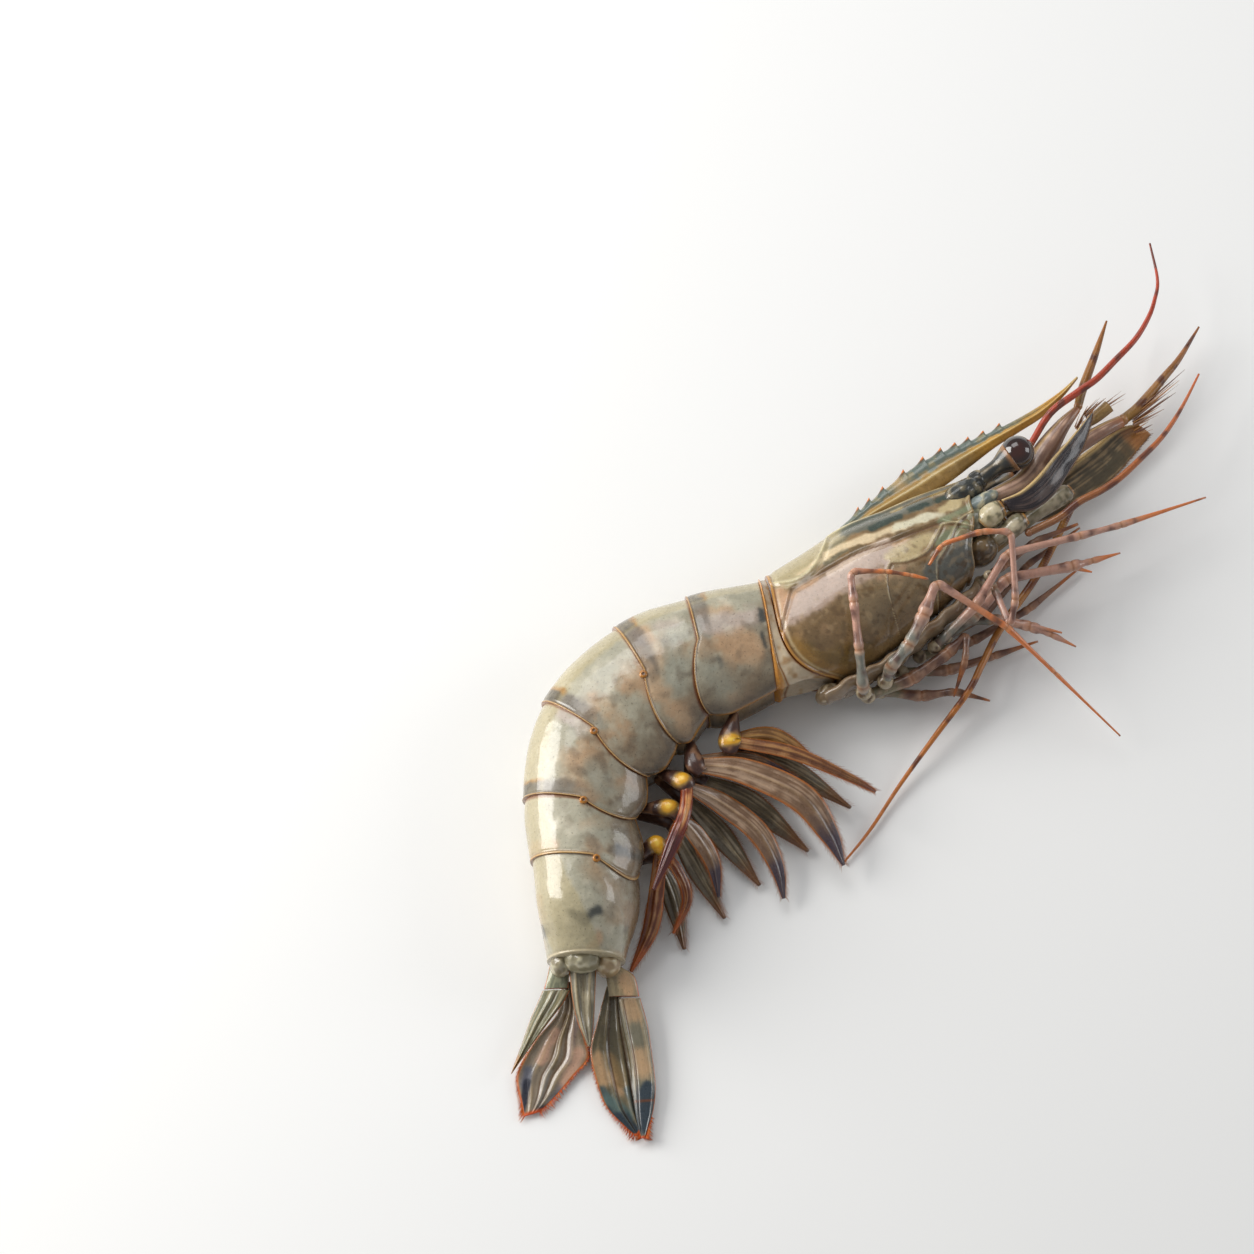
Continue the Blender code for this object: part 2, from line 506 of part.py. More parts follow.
def chain_centre(place):
    """Middle of the abdomen at a place on the chain."""
    x, y, z = along_table(ABDOMEN, place)[:3]
    return plan_point(x, y, z)


def build_abdomen():
    """Six rings of the abdomen, each tucked under the one before it."""
    for ring in range(1, RING_COUNT + 1):
        shift = RING_GAP / (chain_centre(ring - 0.75) - chain_centre(ring - 1)).length * 0.25
        hubs = (chain_centre(ring - 1 + shift), chain_centre(ring))
        bm = closed_tube(ring_surface(ring), RING_ROWS, RING_SIDES, hubs)
        add_object("abdomen_%d" % ring, bm, "shell")


def carapace_rear(v):
    """Rear border of the carapace along the head, v going once round it."""
    share = 2.0 * min(v, 1.0 - v)
    return REAR_TOP - REAR_BULGE * math.sin(math.pi * share ** 1.46) ** 1.6


def carapace_front(v):
    """Front border of the carapace along the head, v going once round it."""
    turn = 2.0 * math.pi * v
    return FRONT_REACH - FRONT_RAKE * (0.5 - 0.5 * math.cos(turn)) ** 1.6


def carapace_section(along, v, share):
    """Point of the carapace's outline at a share of its radius."""
    top, bottom, wide = along_table(CARAPACE, along)
    turn = 2.0 * math.pi * v
    back = (top + bottom) / 2 + (top - bottom) / 2 * math.cos(turn) * share
    across = wide * math.sin(turn) * (1.0 - 0.12 * math.cos(turn)) * share
    return head_point(along, back, HEAD_Z + across)


def carapace_surface(u, v):
    """Surface of the carapace from its rear border to its front border."""
    rear = carapace_rear(v)
    return carapace_section(rear + (carapace_front(v) - rear) * u, v, 1.0)


def rostrum_places():
    """Places of the rostrum's rings: its stations and the foot and tip of every tooth."""
    places = [(row[0], 0.0) for row in ROSTRUM]
    for tip in TEETH:
        places.append((tip - TOOTH_BACK, 0.0))
        places.append((tip, TOOTH_RISE))
        places.append((tip + TOOTH_FRONT, 0.0))
    places.sort()
    kept = [places[0]]
    for place in places[1:]:
        if place[0] - kept[-1][0] > 0.35 or place[1] > 0.0:
            kept.append(place)
    return kept


def build_carapace():
    """Carapace with its toothed rostrum."""
    hubs = (head_point(REAR_HUB, 0.0, HEAD_Z), head_point(FRONT_HUB, 0.0, HEAD_Z))
    bm = closed_tube(carapace_surface, CARAPACE_ROWS, CARAPACE_SIDES, hubs)
    shell = add_object("carapace", bm, "head_shell")
    places = rostrum_places()

    def beak(u, v):
        along, rise = places[round(u * (len(places) - 1))]
        top, bottom, wide = along_table(ROSTRUM, along)
        turn = 2.0 * math.pi * v
        middle = (top + bottom) / 2
        back = middle + (top - bottom) / 2 * math.cos(turn)
        back += rise * max(math.cos(turn), 0.0) ** 3
        return head_point(along, back, HEAD_Z + wide * math.sin(turn))

    blade = add_object("rostrum", closed_tube(beak, len(places) - 1, 8), "head_shell")
    join_parts(shell, [blade])


def build_neck():
    """Pale soft wedge between the carapace and the first ring."""
    def surface(u, v):
        share = 0.95
        rear = carapace_rear(v) * share + REAR_HUB * (1.0 - share) - GAP
        front = carapace_section(rear, v, share)
        back = ring_section(0.0, v, 0.97, 0.92)
        return front.lerp(back, u)

    hubs = (head_point(REAR_HUB - GAP, 0.0, HEAD_Z), chain_centre(0.0))
    add_object("neck", closed_tube(surface, 1, RING_SIDES, hubs), "flesh")


def build_sternum():
    """Strip under the carapace between the roots of the legs."""
    first = STERNUM[0][0]
    last = STERNUM[-1][0]

    def surface(u, v):
        along = first + (last - first) * u
        wide = along_table(STERNUM, along)[0]
        bottom = along_table(CARAPACE, along)[1]
        turn = 2.0 * math.pi * v
        back = bottom - GAP - STERNUM_DEPTH * (1.0 + math.sin(turn))
        return head_point(along, back, HEAD_Z + wide * math.cos(turn))

    add_object("sternum", closed_tube(surface, 9, 12), "flesh")


def swept(points, wides, thicks, up, sides):
    """Closed tube along a list of points with an oval section that keeps level with up."""
    last = len(points) - 1

    def surface(u, v):
        i = round(u * last)
        ahead = points[min(i + 1, last)] - points[max(i - 1, 0)]
        across = ahead.cross(up).normalized()
        over = across.cross(ahead).normalized()
        turn = 2.0 * math.pi * v
        return points[i] + across * wides[i] * math.cos(turn) + over * thicks[i] * math.sin(turn)

    return closed_tube(surface, last, sides)


def smooth_limb(name, rows, place, kind, steps, sides):
    """Smoothly curved limb through rows of position, half width and half thickness."""
    table = indexed([tuple(row) + (row[-1],) * (5 - len(row)) for row in rows])
    points = []
    wides = []
    thicks = []
    for i in range((len(rows) - 1) * steps + 1):
        x, y, z, wide, thick = along_table(table, i / steps)
        points.append(place(x, y, z))
        wides.append(max(wide, 0.15))
        thicks.append(max(thick, 0.15))
    return add_object(name, swept(points, wides, thicks, UP, sides), kind)


def jointed_limb(name, rows, kind, sides):
    """Limb of straight joints with slightly swollen, rounded knees."""
    corners = [head_point(*row[:3]) for row in rows]
    points = [corners[0]]
    radii = [rows[0][3]]
    for i in range(1, len(rows) - 1):
        behind = (corners[i - 1] - corners[i]).normalized()
        ahead = (corners[i + 1] - corners[i]).normalized()
        radius = rows[i][3]
        reach = min(KNEE_REACH, (corners[i + 1] - corners[i]).length * 0.4)
        points.append(corners[i] + behind * reach)
        points.append(corners[i] + (behind + ahead) * reach * 0.25)
        points.append(corners[i] + ahead * reach)
        radii += [radius, radius * KNEE_SWELL, radius * 0.94]
    points.append(corners[-1])
    radii.append(rows[-1][3])
    return add_object(name, swept(points, radii, radii, UP, sides), kind)


def edged_blade(name, pairs, place, thick, kind, rows, sides):
    """Thin leaf between two edges, thickest along its middle."""
    table = indexed([tuple(left) + tuple(right) for left, right in pairs])
    last = len(pairs) - 1

    def surface(u, v):
        values = along_table(table, u * last)
        left = place(*values[:3])
        right = place(*values[3:])
        turn = 2.0 * math.pi * v
        middle = (left + right) / 2
        taper = thick * (1.0 - 0.55 * u)
        return middle + (right - left) / 2 * math.cos(turn) + UP * taper * math.sin(turn)

    return add_object(name, closed_tube(surface, rows, sides), kind)


def build_eyes():
    """Round eyes on their stalks."""
    for side, place in EYES.items():
        centre = head_point(*place)
        bm = bmesh.new()
        bmesh.ops.create_uvsphere(bm, u_segments=16, v_segments=10, radius=EYE_RADIUS)
        bmesh.ops.translate(bm, vec=centre, verts=bm.verts)
        bmesh.ops.scale(bm, vec=(MM, MM, MM), verts=bm.verts)
        add_object("eye_" + side, bm, "eye")
        root = head_point(*STALKS[side])
        ahead = (centre - root).normalized()
        tip = centre - ahead * (EYE_RADIUS + GAP)
        points = [root, root.lerp(tip, 0.45), tip]
        radii = [STALK_RADIUS * 0.9, STALK_RADIUS, STALK_RADIUS]
        add_object("eyestalk_" + side, swept(points, radii, radii, UP, 12), "limb")


def build_feelers():
    """Antennules, antennae with their bases, and antennal scales."""
    for name, rows in ANTENNULES.items():
        smooth_limb(name, rows, head_point, "limb", 2, 8)
    for name, rows in FLAGELLA.items():
        smooth_limb(name, rows, head_point, "whip", 2, 5)
    for name, rows in ANTENNA_BASES.items():
        smooth_limb(name, rows, head_point, "flesh", 2, 8)
    for name, pairs in SCALES.items():
        edged_blade(name, pairs, head_point, SCALE_THICK, "blade", 8, 8)


def build_legs():
    """Walking legs and jaw feet, two of them with a pincer."""
    for name, rows in LEGS.items():
        leg = jointed_limb(name, rows, "limb", LEG_SIDES)
        if name in PINCERS:
            finger = smooth_limb(name + "_finger", PINCERS[name], head_point, "limb", 3, 6)
            join_parts(leg, [finger])


def swimmeret_root(index, side):
    """Row of the root of a swimmeret, just clear of the belly."""
    place = SWIMMERET_PLACES[index]
    share = SWIMMERET_SHARE if side == "right" else 1.0 - SWIMMERET_SHARE
    belly = ring_section(place, share, 1.0, 1.0)
    outward = (belly - chain_centre(place)).normalized()
    root = belly + outward * (GAP + 1.6 * SWIMMERET_ROOT)
    return (root.x + FOOT_X, root.y + FOOT_Y, root.z, SWIMMERET_ROOT, SWIMMERET_ROOT)


def build_swimmerets():
    """Swimmerets: a base with one or two thin blades fused to it."""
    for name, (base, *blades) in SWIMMERETS.items():
        side, number = name.split("_")[1:]
        rows = (swimmeret_root(int(number) - 1, side),) + base[1:]
        host = smooth_limb(name, rows, plan_point, "swimmeret", 2, 8)
        others = []
        for i, rows in enumerate(blades):
            blade = smooth_limb("%s_blade_%d" % (name, i), rows, plan_point, "swimmeret", 2, 6)
            others.append(blade)
        join_parts(host, others)


def build_tail_fan():
    """Telson, the two roots of the fan and its four blades."""
    for name, pairs in FAN.items():
        thick = FAN_THICK.get(name, BLADE_THICK)
        edged_blade(name, pairs, tail_point, thick, "blade", 8, 8)


def main():
    """Clear the scene and build every piece."""
    for old in list(bpy.data.objects):
        bpy.data.objects.remove(old)
    build_carapace()
    build_neck()
    build_sternum()
    build_abdomen()
    build_eyes()
    build_feelers()
    build_legs()
    build_swimmerets()
    build_tail_fan()


main()
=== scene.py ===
"""Looks of a raw tiger prawn that lies on its left side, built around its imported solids.

Sizes are in millimetres until a mesh is finished. Colours are sRGB values from 0 to 1.
The head is placed in a head frame: along the head, towards the back, height.
The tail fan is placed in a tail frame: behind the last ring, across the fan, height.
"""
from __future__ import annotations

import logging
import math
import random
from dataclasses import dataclass, field
from enum import Enum
from typing import Callable, Iterable, Sequence

import bmesh
import bpy
from mathutils import Matrix, Vector, noise

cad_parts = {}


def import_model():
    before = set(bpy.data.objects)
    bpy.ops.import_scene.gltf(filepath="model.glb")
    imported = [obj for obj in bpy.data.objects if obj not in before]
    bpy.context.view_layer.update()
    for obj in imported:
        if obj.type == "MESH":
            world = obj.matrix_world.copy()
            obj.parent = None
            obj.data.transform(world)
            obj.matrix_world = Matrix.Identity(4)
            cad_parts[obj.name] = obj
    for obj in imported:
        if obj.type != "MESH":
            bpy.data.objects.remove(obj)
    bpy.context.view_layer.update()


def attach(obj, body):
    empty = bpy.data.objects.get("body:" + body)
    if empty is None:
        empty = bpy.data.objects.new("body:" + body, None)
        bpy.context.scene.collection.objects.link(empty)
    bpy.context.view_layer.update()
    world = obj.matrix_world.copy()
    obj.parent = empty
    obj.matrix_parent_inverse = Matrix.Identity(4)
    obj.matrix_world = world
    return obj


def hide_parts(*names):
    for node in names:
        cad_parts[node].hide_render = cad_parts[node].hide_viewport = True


LOG = logging.getLogger("prawn")

MM = 0.001
WELD = 0.001
FLOOR_CLEARANCE = 0.02
UP = Vector((0.0, 0.0, 1.0))
BODY = "root"
UV_MAP = "surface"
PAINT_MAP = "paint"

# Middle of the footprint, and the origins of the head frame and of the tail frame, in plan
FOOT_X, FOOT_Y = 1.46, 4.29
HEAD_X, HEAD_Y, HEAD_Z = -13.7, 15.3, 11.0
HEAD_TURN = math.radians(34.0)
TAIL_X, TAIL_Y = -63.8, -65.0

Row = tuple[float, ...]
Colour = tuple[float, float, float]
SurfaceMap = Callable[[float, float], Vector]
PlaceMap = Callable[[float, float, float], Vector]

PALE: Colour = (0.69, 0.67, 0.59)
GREY_GREEN: Colour = (0.60, 0.585, 0.51)
BEIGE: Colour = (0.68, 0.63, 0.49)
TAUPE: Colour = (0.46, 0.40, 0.32)
AMBER: Colour = (0.70, 0.46, 0.17)
RUST: Colour = (0.42, 0.20, 0.06)
OLIVE: Colour = (0.46, 0.37, 0.25)
UMBER: Colour = (0.16, 0.10, 0.07)


def head_point(along: float, back: float, height: float) -> Vector:
    """Point of the head frame in the part's frame."""
    x = HEAD_X + along * math.cos(HEAD_TURN) - back * math.sin(HEAD_TURN) - FOOT_X
    y = HEAD_Y + along * math.sin(HEAD_TURN) + back * math.cos(HEAD_TURN) - FOOT_Y
    return Vector((x, y, height))


def head_place(point: Vector) -> tuple[float, float]:
    """Place along the head and towards the back of a point in the part's frame."""
    x = point.x + FOOT_X - HEAD_X
    y = point.y + FOOT_Y - HEAD_Y
    along = x * math.cos(HEAD_TURN) + y * math.sin(HEAD_TURN)
    return along, y * math.cos(HEAD_TURN) - x * math.sin(HEAD_TURN)


def plan_point(x: float, y: float, height: float) -> Vector:
    """Point given in plan in the part's frame."""
    return Vector((x - FOOT_X, y - FOOT_Y, height))


def plan_place(point: Vector) -> tuple[float, float]:
    """Place in plan of a point in the part's frame."""
    return point.x + FOOT_X, point.y + FOOT_Y


def tail_point(behind: float, across: float, height: float) -> Vector:
    """Point of the tail frame in the part's frame."""
    return plan_point(TAIL_X + across, TAIL_Y - behind, height)


def tail_place(point: Vector) -> tuple[float, float]:
    """Place behind the last ring and across the fan of a point in the part's frame."""
    return TAIL_Y - point.y - FOOT_Y, point.x + FOOT_X - TAIL_X


def along_table(rows: Sequence[Row], place: float) -> list[float]:
    """Values of a table at a place, by smooth interpolation on its first column.

    Args:
        rows: stations, each starting with its own place.
        place: where to read the table.

    Returns:
        The other columns' values at that place.
    """
    last = len(rows) - 1
    i = 0
    while i < last - 1 and place > rows[i + 1][0]:
        i += 1
    start, stop = rows[i], rows[i + 1]
    before, after = rows[max(i - 1, 0)], rows[min(i + 2, last)]
    span = stop[0] - start[0]
    t = (place - start[0]) / span
    weights = (2 * t ** 3 - 3 * t ** 2 + 1, t ** 3 - 2 * t ** 2 + t,
               3 * t ** 2 - 2 * t ** 3, t ** 3 - t ** 2)
    values = []
    for column in range(1, len(start)):
        slope_in = (stop[column] - before[column]) / (stop[0] - before[0]) * span
        slope_out = (after[column] - start[column]) / (after[0] - start[0]) * span
        value = weights[0] * start[column] + weights[1] * slope_in
        values.append(value + weights[2] * stop[column] + weights[3] * slope_out)
    return values


def indexed(rows: Iterable[Row]) -> list[Row]:
    """Rows with their own index as the first column."""
    return [(float(i),) + tuple(row) for i, row in enumerate(rows)]


def step(value: float, low: float, high: float) -> float:
    """Smooth step from 0 at low to 1 at high; low may be the larger of the two."""
    t = min(max((value - low) / (high - low), 0.0), 1.0)
    return t * t * (3.0 - 2.0 * t)


def hump(value: float, middle: float, width: float) -> float:
    """Bell curve of height 1 around a middle."""
    return math.exp(-((value - middle) / width) ** 2)


def ripple(point: Vector, size: float, seed: float = 0.0) -> float:
    """Smooth random value from about -1 to 1, with features of a size in millimetres."""
    return noise.noise(Vector((point.x / size + seed, point.y / size, point.z / size - seed)))


@dataclass(frozen=True)
class Stroke:
    """Soft stroke of colour between two places, in millimetres."""

    x: float
    y: float
    to_x: float
    to_y: float
    width: float
    strength: float = 1.0

    def at(self, x: float, y: float) -> float:
        """Strength of the stroke at a place."""
        run_x, run_y = self.to_x - self.x, self.to_y - self.y
        share = ((x - self.x) * run_x + (y - self.y) * run_y) / (run_x * run_x + run_y * run_y)
        share = min(max(share, 0.0), 1.0)
        away_x = x - self.x - run_x * share
        away_y = y - self.y - run_y * share
        return self.strength * math.exp(-(away_x * away_x + away_y * away_y) / self.width ** 2)


class Paint:
    """Colour of one place, laid on coat over coat."""

    def __init__(self, ground: Colour) -> None:
        """Start from a ground colour."""
        self.colour = ground

    def lay(self, colour: Colour, share: float) -> Paint:
        """Lay a colour over what is there.

        Args:
            colour: the colour to lay on.
            share: how much of it covers, held between 0 and 1.

        Returns:
            This paint, for the next coat.
        """
        share = min(max(share, 0.0), 1.0)
        self.colour = tuple(old + (new - old) * share for old, new in zip(self.colour, colour))
        return self

    @property
    def linear(self) -> Row:
        """Linear colour for a mesh's colour layer or a socket."""
        values = [c / 12.92 if c <= 0.04045 else ((c + 0.055) / 1.055) ** 2.4 for c in self.colour]
        return tuple(values) + (1.0,)


@dataclass(frozen=True)
class Coat:
    """Soft strokes of one colour."""

    colour: Colour
    most: float
    strokes: tuple[Stroke, ...]

    @classmethod
    def of(cls, colour: Colour, most: float, *rows: Row) -> Coat:
        """Coat from rows of two places, a width and a strength where that isn't 1."""
        return cls(colour, most, tuple(Stroke(*row) for row in rows))

    def lay(self, paint: Paint, x: float, y: float, rough: float = 0.0) -> None:
        """Lay the strokes over a paint, with their edges broken up by a rough value."""
        share = sum(stroke.at(x, y) for stroke in self.strokes)
        if share > 0.03:
            paint.lay(self.colour, self.most * step(share + rough, 0.1, 0.85))


Painter = Callable[[float, float, Vector], Paint]
Shaper = Callable[[Vector], tuple[Vector, Paint]]


@dataclass(frozen=True)
class Streaks:
    """Streaked paint: two colours along the piece, its edge, its ridge and its tip."""

    first: Colour
    second: Colour
    edge: Colour = (0.60, 0.34, 0.12)
    tip: Colour = (0.25, 0.22, 0.26)
    tip_from: float = 2.0
    ridge: Colour = (0.84, 0.72, 0.48)
    count: float = 6.0

    def paint(self, u: float, v: float, point: Vector, edge: float = 0.0, ridge: float = 0.0) -> Paint:
        """Paint of one place.

        Args:
            u: share along the piece.
            v: share round the piece.
            point: the place.
            edge: how much of the edge's colour it has.
            ridge: how much of the ridge's colour it has.

        Returns:
            The paint of that place.
        """
        across = math.cos(2.0 * math.pi * v)
        streak = noise.noise(Vector((u * 2.2, across * self.count, 5.0)))
        rough = ripple(point, 2.6, 2.0)
        paint = Paint(self.first).lay(self.second, step(streak + 0.4 * rough, -0.15, 0.35))
        paint.lay(self.tip, 0.9 * step(u + 0.08 * rough, self.tip_from, self.tip_from + 0.2))
        return paint.lay(self.edge, 0.9 * edge).lay(self.ridge, 0.9 * ridge)


class Value:
    """Number, vector or colour that flows through a material's nodes."""

    def __init__(self, graph: Graph, socket: bpy.types.NodeSocket) -> None:
        """Wrap a socket of a graph."""
        self.graph = graph
        self.socket = socket

    def __add__(self, other: Value | float) -> Value:
        """Sum of two values."""
        return self.graph.math("ADD", self, other)

    def __mul__(self, other: Value | float) -> Value:
        """Product of two values."""
        return self.graph.math("MULTIPLY", self, other)

    def smooth(self, low: float, high: float) -> Value:
        """Smooth step of this value from 0 at low to 1 at high."""
        settings = {"interpolation_type": "SMOOTHSTEP"}
        made = self.graph.node("ShaderNodeMapRange", settings, {0: self, 1: low, 2: high})
        return Value(self.graph, made.outputs[0])

    def sine(self) -> Value:
        """Sine of this value, from 0 to 1."""
        return self.graph.math("SINE", self, 0.0) * 0.5 + 0.5


class Graph:
    """Node tree of one material."""

    def __init__(self, name: str) -> None:
        """Start an empty material with its output."""
        self.material = bpy.data.materials.new(name)
        self.material.use_nodes = True
        self.tree = self.material.node_tree
        self.tree.nodes.clear()
        self.output = self.tree.nodes.new("ShaderNodeOutputMaterial")

    def node(self, kind: str, settings: dict, inputs: dict) -> bpy.types.Node:
        """Add a node.

        Args:
            kind: the node's type.
            settings: its properties, set before its sockets.
            inputs: a number, colour or Value for each socket, by name or index.

        Returns:
            The new node.
        """
        made = self.tree.nodes.new(kind)
        for key, setting in settings.items():
            setattr(made, key, setting)
        for key, value in inputs.items():
            if isinstance(value, Value):
                self.tree.links.new(value.socket, made.inputs[key])
            else:
                made.inputs[key].default_value = value
        return made

    def math(self, operation: str, first: Value | float, second: Value | float) -> Value:
        """Value of one Math node."""
        made = self.node("ShaderNodeMath", {"operation": operation}, {0: first, 1: second})
        return Value(self, made.outputs[0])

    def paint(self) -> Value:
        """Painted colour of the mesh."""
        made = self.node("ShaderNodeAttribute", {"attribute_name": PAINT_MAP}, {})
        return Value(self, made.outputs["Color"])

    def along(self) -> Value:
        """Share along the piece, from its UV map."""
        uv = self.node("ShaderNodeUVMap", {"uv_map": UV_MAP}, {})
        parts = self.node("ShaderNodeSeparateXYZ", {}, {0: Value(self, uv.outputs[0])})
        return Value(self, parts.outputs[0])

    def place(self) -> Value:
        """Object coordinates, in metres."""
        return Value(self, self.node("ShaderNodeTexCoord", {}, {}).outputs["Object"])

    def streaks(self, count: float) -> Value:
        """Lengthwise streaks from 0 to 1, a number of them round the piece."""
        uv = self.node("ShaderNodeUVMap", {"uv_map": UV_MAP}, {})
        made = self.node("ShaderNodeVectorMath", {"operation": "MULTIPLY"},
                         {0: Value(self, uv.outputs[0]), 1: (2.5, count, 1.0)})
        return self.grain(1.0, 4.0, where=Value(self, made.outputs[0]), warp=0.2)

    def grain(self, size: float, detail: float = 2.0, where: Value | None = None,
              warp: float = 0.0) -> Value:
        """Noise from 0 to 1 with features of a size in millimetres, or in units of where."""
        vector = where if where is not None else self.place()
        scale = 1.0 / size if where is not None else 1.0 / (size * MM)
        inputs = {"Vector": vector, "Scale": scale, "Detail": detail, "Distortion": warp}
        return Value(self, self.node("ShaderNodeTexNoise", {}, inputs).outputs[0])

    def tint(self, colour: Colour | Value) -> Value | Row:
        """Colour ready for a socket: an sRGB colour made linear, or a Value as it is."""
        return colour if isinstance(colour, Value) else Paint(colour).linear

    def mix(self, factor: Value | float, first: Colour | Value, second: Colour | Value) -> Value:
        """Colour between two colours."""
        inputs = {0: factor, 6: self.tint(first), 7: self.tint(second)}
        made = self.node("ShaderNodeMix", {"data_type": "RGBA"}, inputs)
        return Value(self, made.outputs[2])

    def shade(self, colour: Value, factor: Value) -> Value:
        """Colour made darker or lighter by a factor."""
        made = self.node("ShaderNodeVectorMath", {"operation": "SCALE"}, {0: colour, "Scale": factor})
        return Value(self, made.outputs[0])


@dataclass(frozen=True)
class Finish:
    """Wet, painted surface: its gloss, its soft inside and the fine detail over its paint."""

    name: str
    rough: float = 0.3
    coat: float = 0.5
    coat_rough: float = 0.08
    soft: float = 0.12
    soft_depth: float = 0.4
    mottle: float = 0.14
    mottle_size: float = 2.4
    grit: float = 0.16
    specks: float = 0.3
    speck_size: float = 0.5
    lines: float = 0.0
    line_count: float = 20.0
    waves: float = 0.06
    wave_size: float = 3.0
    wrinkles: float = 0.02
    ridges: float = 0.0

    def colour(self, graph: Graph) -> Value:
        """Painted colour with mottling, lengthwise lines, grit and dark specks."""
        tone = graph.grain(self.mottle_size, 4.0, warp=0.5) * (2.0 * self.mottle) + (1.0 - self.mottle)
        tone = tone * (graph.grain(0.8, 3.0) * (2.0 * self.grit) + (1.0 - self.grit))
        if self.lines:
            tone = tone * (graph.streaks(self.line_count) * (2.0 * self.lines) + (1.0 - self.lines))
        speck = graph.grain(self.speck_size, 1.0).smooth(0.64, 0.74) * self.specks
        return graph.mix(speck, graph.shade(graph.paint(), tone), UMBER)

    def relief(self, graph: Graph) -> Value:
        """Height of slow waves, fine wrinkles and lengthwise ridges, in millimetres."""
        height = graph.grain(self.wave_size, 2.0, warp=0.8) * self.waves
        height = height + graph.grain(0.9, 3.0, warp=0.6) * self.wrinkles
        if self.ridges:
            height = height + graph.streaks(self.line_count) * self.ridges
        return height

    def roughness(self, graph: Graph) -> Value:
        """Roughness over the surface, a little uneven."""
        return graph.grain(2.5, 3.0) * 0.2 + (self.rough - 0.1)

    def material(self) -> bpy.types.Material:
        """Material of this finish, made once."""
        found = bpy.data.materials.get(self.name)
        if found:
            return found
        graph = Graph(self.name)
        bump = graph.node("ShaderNodeBump", {}, {"Strength": 1.0, "Distance": MM,
                                                 "Height": self.relief(graph)})
        inputs = {
            "Base Color": self.colour(graph), "Roughness": self.roughness(graph),
            "Normal": Value(graph, bump.outputs[0]), "IOR": 1.45,
            "Coat Weight": self.coat, "Coat Roughness": self.coat_rough,
            "Subsurface Weight": self.soft, "Subsurface Scale": self.soft_depth * MM,
            "Subsurface Radius": (1.0, 0.85, 0.7),
        }
        shader = graph.node("ShaderNodeBsdfPrincipled", {}, inputs)
        graph.tree.links.new(shader.outputs[0], graph.output.inputs["Surface"])
        return graph.material


@dataclass(frozen=True)
class WhipFinish(Finish):
    """Painted whip with fine rings."""

    rings: float = 1500.0

    def relief(self, graph: Graph) -> Value:
        """Height of the fine rings."""
        return (graph.along() * self.rings).sine() * 0.05


@dataclass(frozen=True)
class FloorFinish(Finish):
    """Plain pale floor."""

    def colour(self, graph: Graph) -> Value:
        """Nearly white."""
        return graph.mix(graph.grain(300.0, 1.0), (0.945, 0.945, 0.94), (0.955, 0.955, 0.95))

    def roughness(self, graph: Graph) -> Value:
        """Matt."""
        return graph.grain(100.0, 1.0) * 0.02 + 0.9

    def relief(self, graph: Graph) -> Value:
        """No relief to speak of."""
        return graph.grain(50.0, 1.0) * 0.0001


RING_SHELL = Finish("ring_shell", rough=0.27, coat=0.6, waves=0.16, wave_size=4.5, wrinkles=0.035,
                    mottle=0.12, grit=0.15, specks=0.35)
HEAD_SHELL = Finish("carapace_shell", rough=0.26, coat=0.6, soft=0.16, waves=0.13, wave_size=5.5,
                    wrinkles=0.03, mottle=0.14, grit=0.18, specks=0.35)
BEAK_SHELL = Finish("beak_shell", coat=0.4, waves=0.05, mottle=0.2, mottle_size=3.5)
SOFT_SKIN = Finish("soft_skin", rough=0.24, coat=0.6, soft=0.35, waves=0.14, wave_size=2.2, specks=0.1)
EYE_GLASS = Finish("eye_glass", rough=0.15, coat=1.0, coat_rough=0.03, soft=0.0, waves=0.0,
                   wrinkles=0.002, mottle=0.1, grit=0.05, specks=0.0)
LIMB_SKIN = Finish("limb_skin", rough=0.3, coat=0.5, soft=0.22, waves=0.05, wave_size=1.5,
                   mottle=0.14, mottle_size=1.6, specks=0.2)
WHIP_SKIN = WhipFinish("whip_skin", soft=0.05, mottle=0.2, mottle_size=3.5)
SCALE_SKIN = Finish("scale_skin", rough=0.24, coat=0.7, lines=0.35, line_count=44.0, ridges=0.12)
BLADE_SKIN = Finish("blade_skin", rough=0.26, coat=0.6, soft=0.3, lines=0.35, line_count=26.0, ridges=0.12)
CELL_SKIN = Finish("cell_skin", rough=0.3, coat=0.45, coat_rough=0.14, soft=0.3, waves=0.12, wave_size=1.4,
                   specks=0.1)
FAN_SKIN = Finish("fan_skin", rough=0.27, coat=0.6, lines=0.22, line_count=60.0, ridges=0.07,
                  mottle=0.16, wrinkles=0.025)
BRISTLE_SKIN = Finish("bristle_skin", coat=0.2, specks=0.0, mottle=0.2)


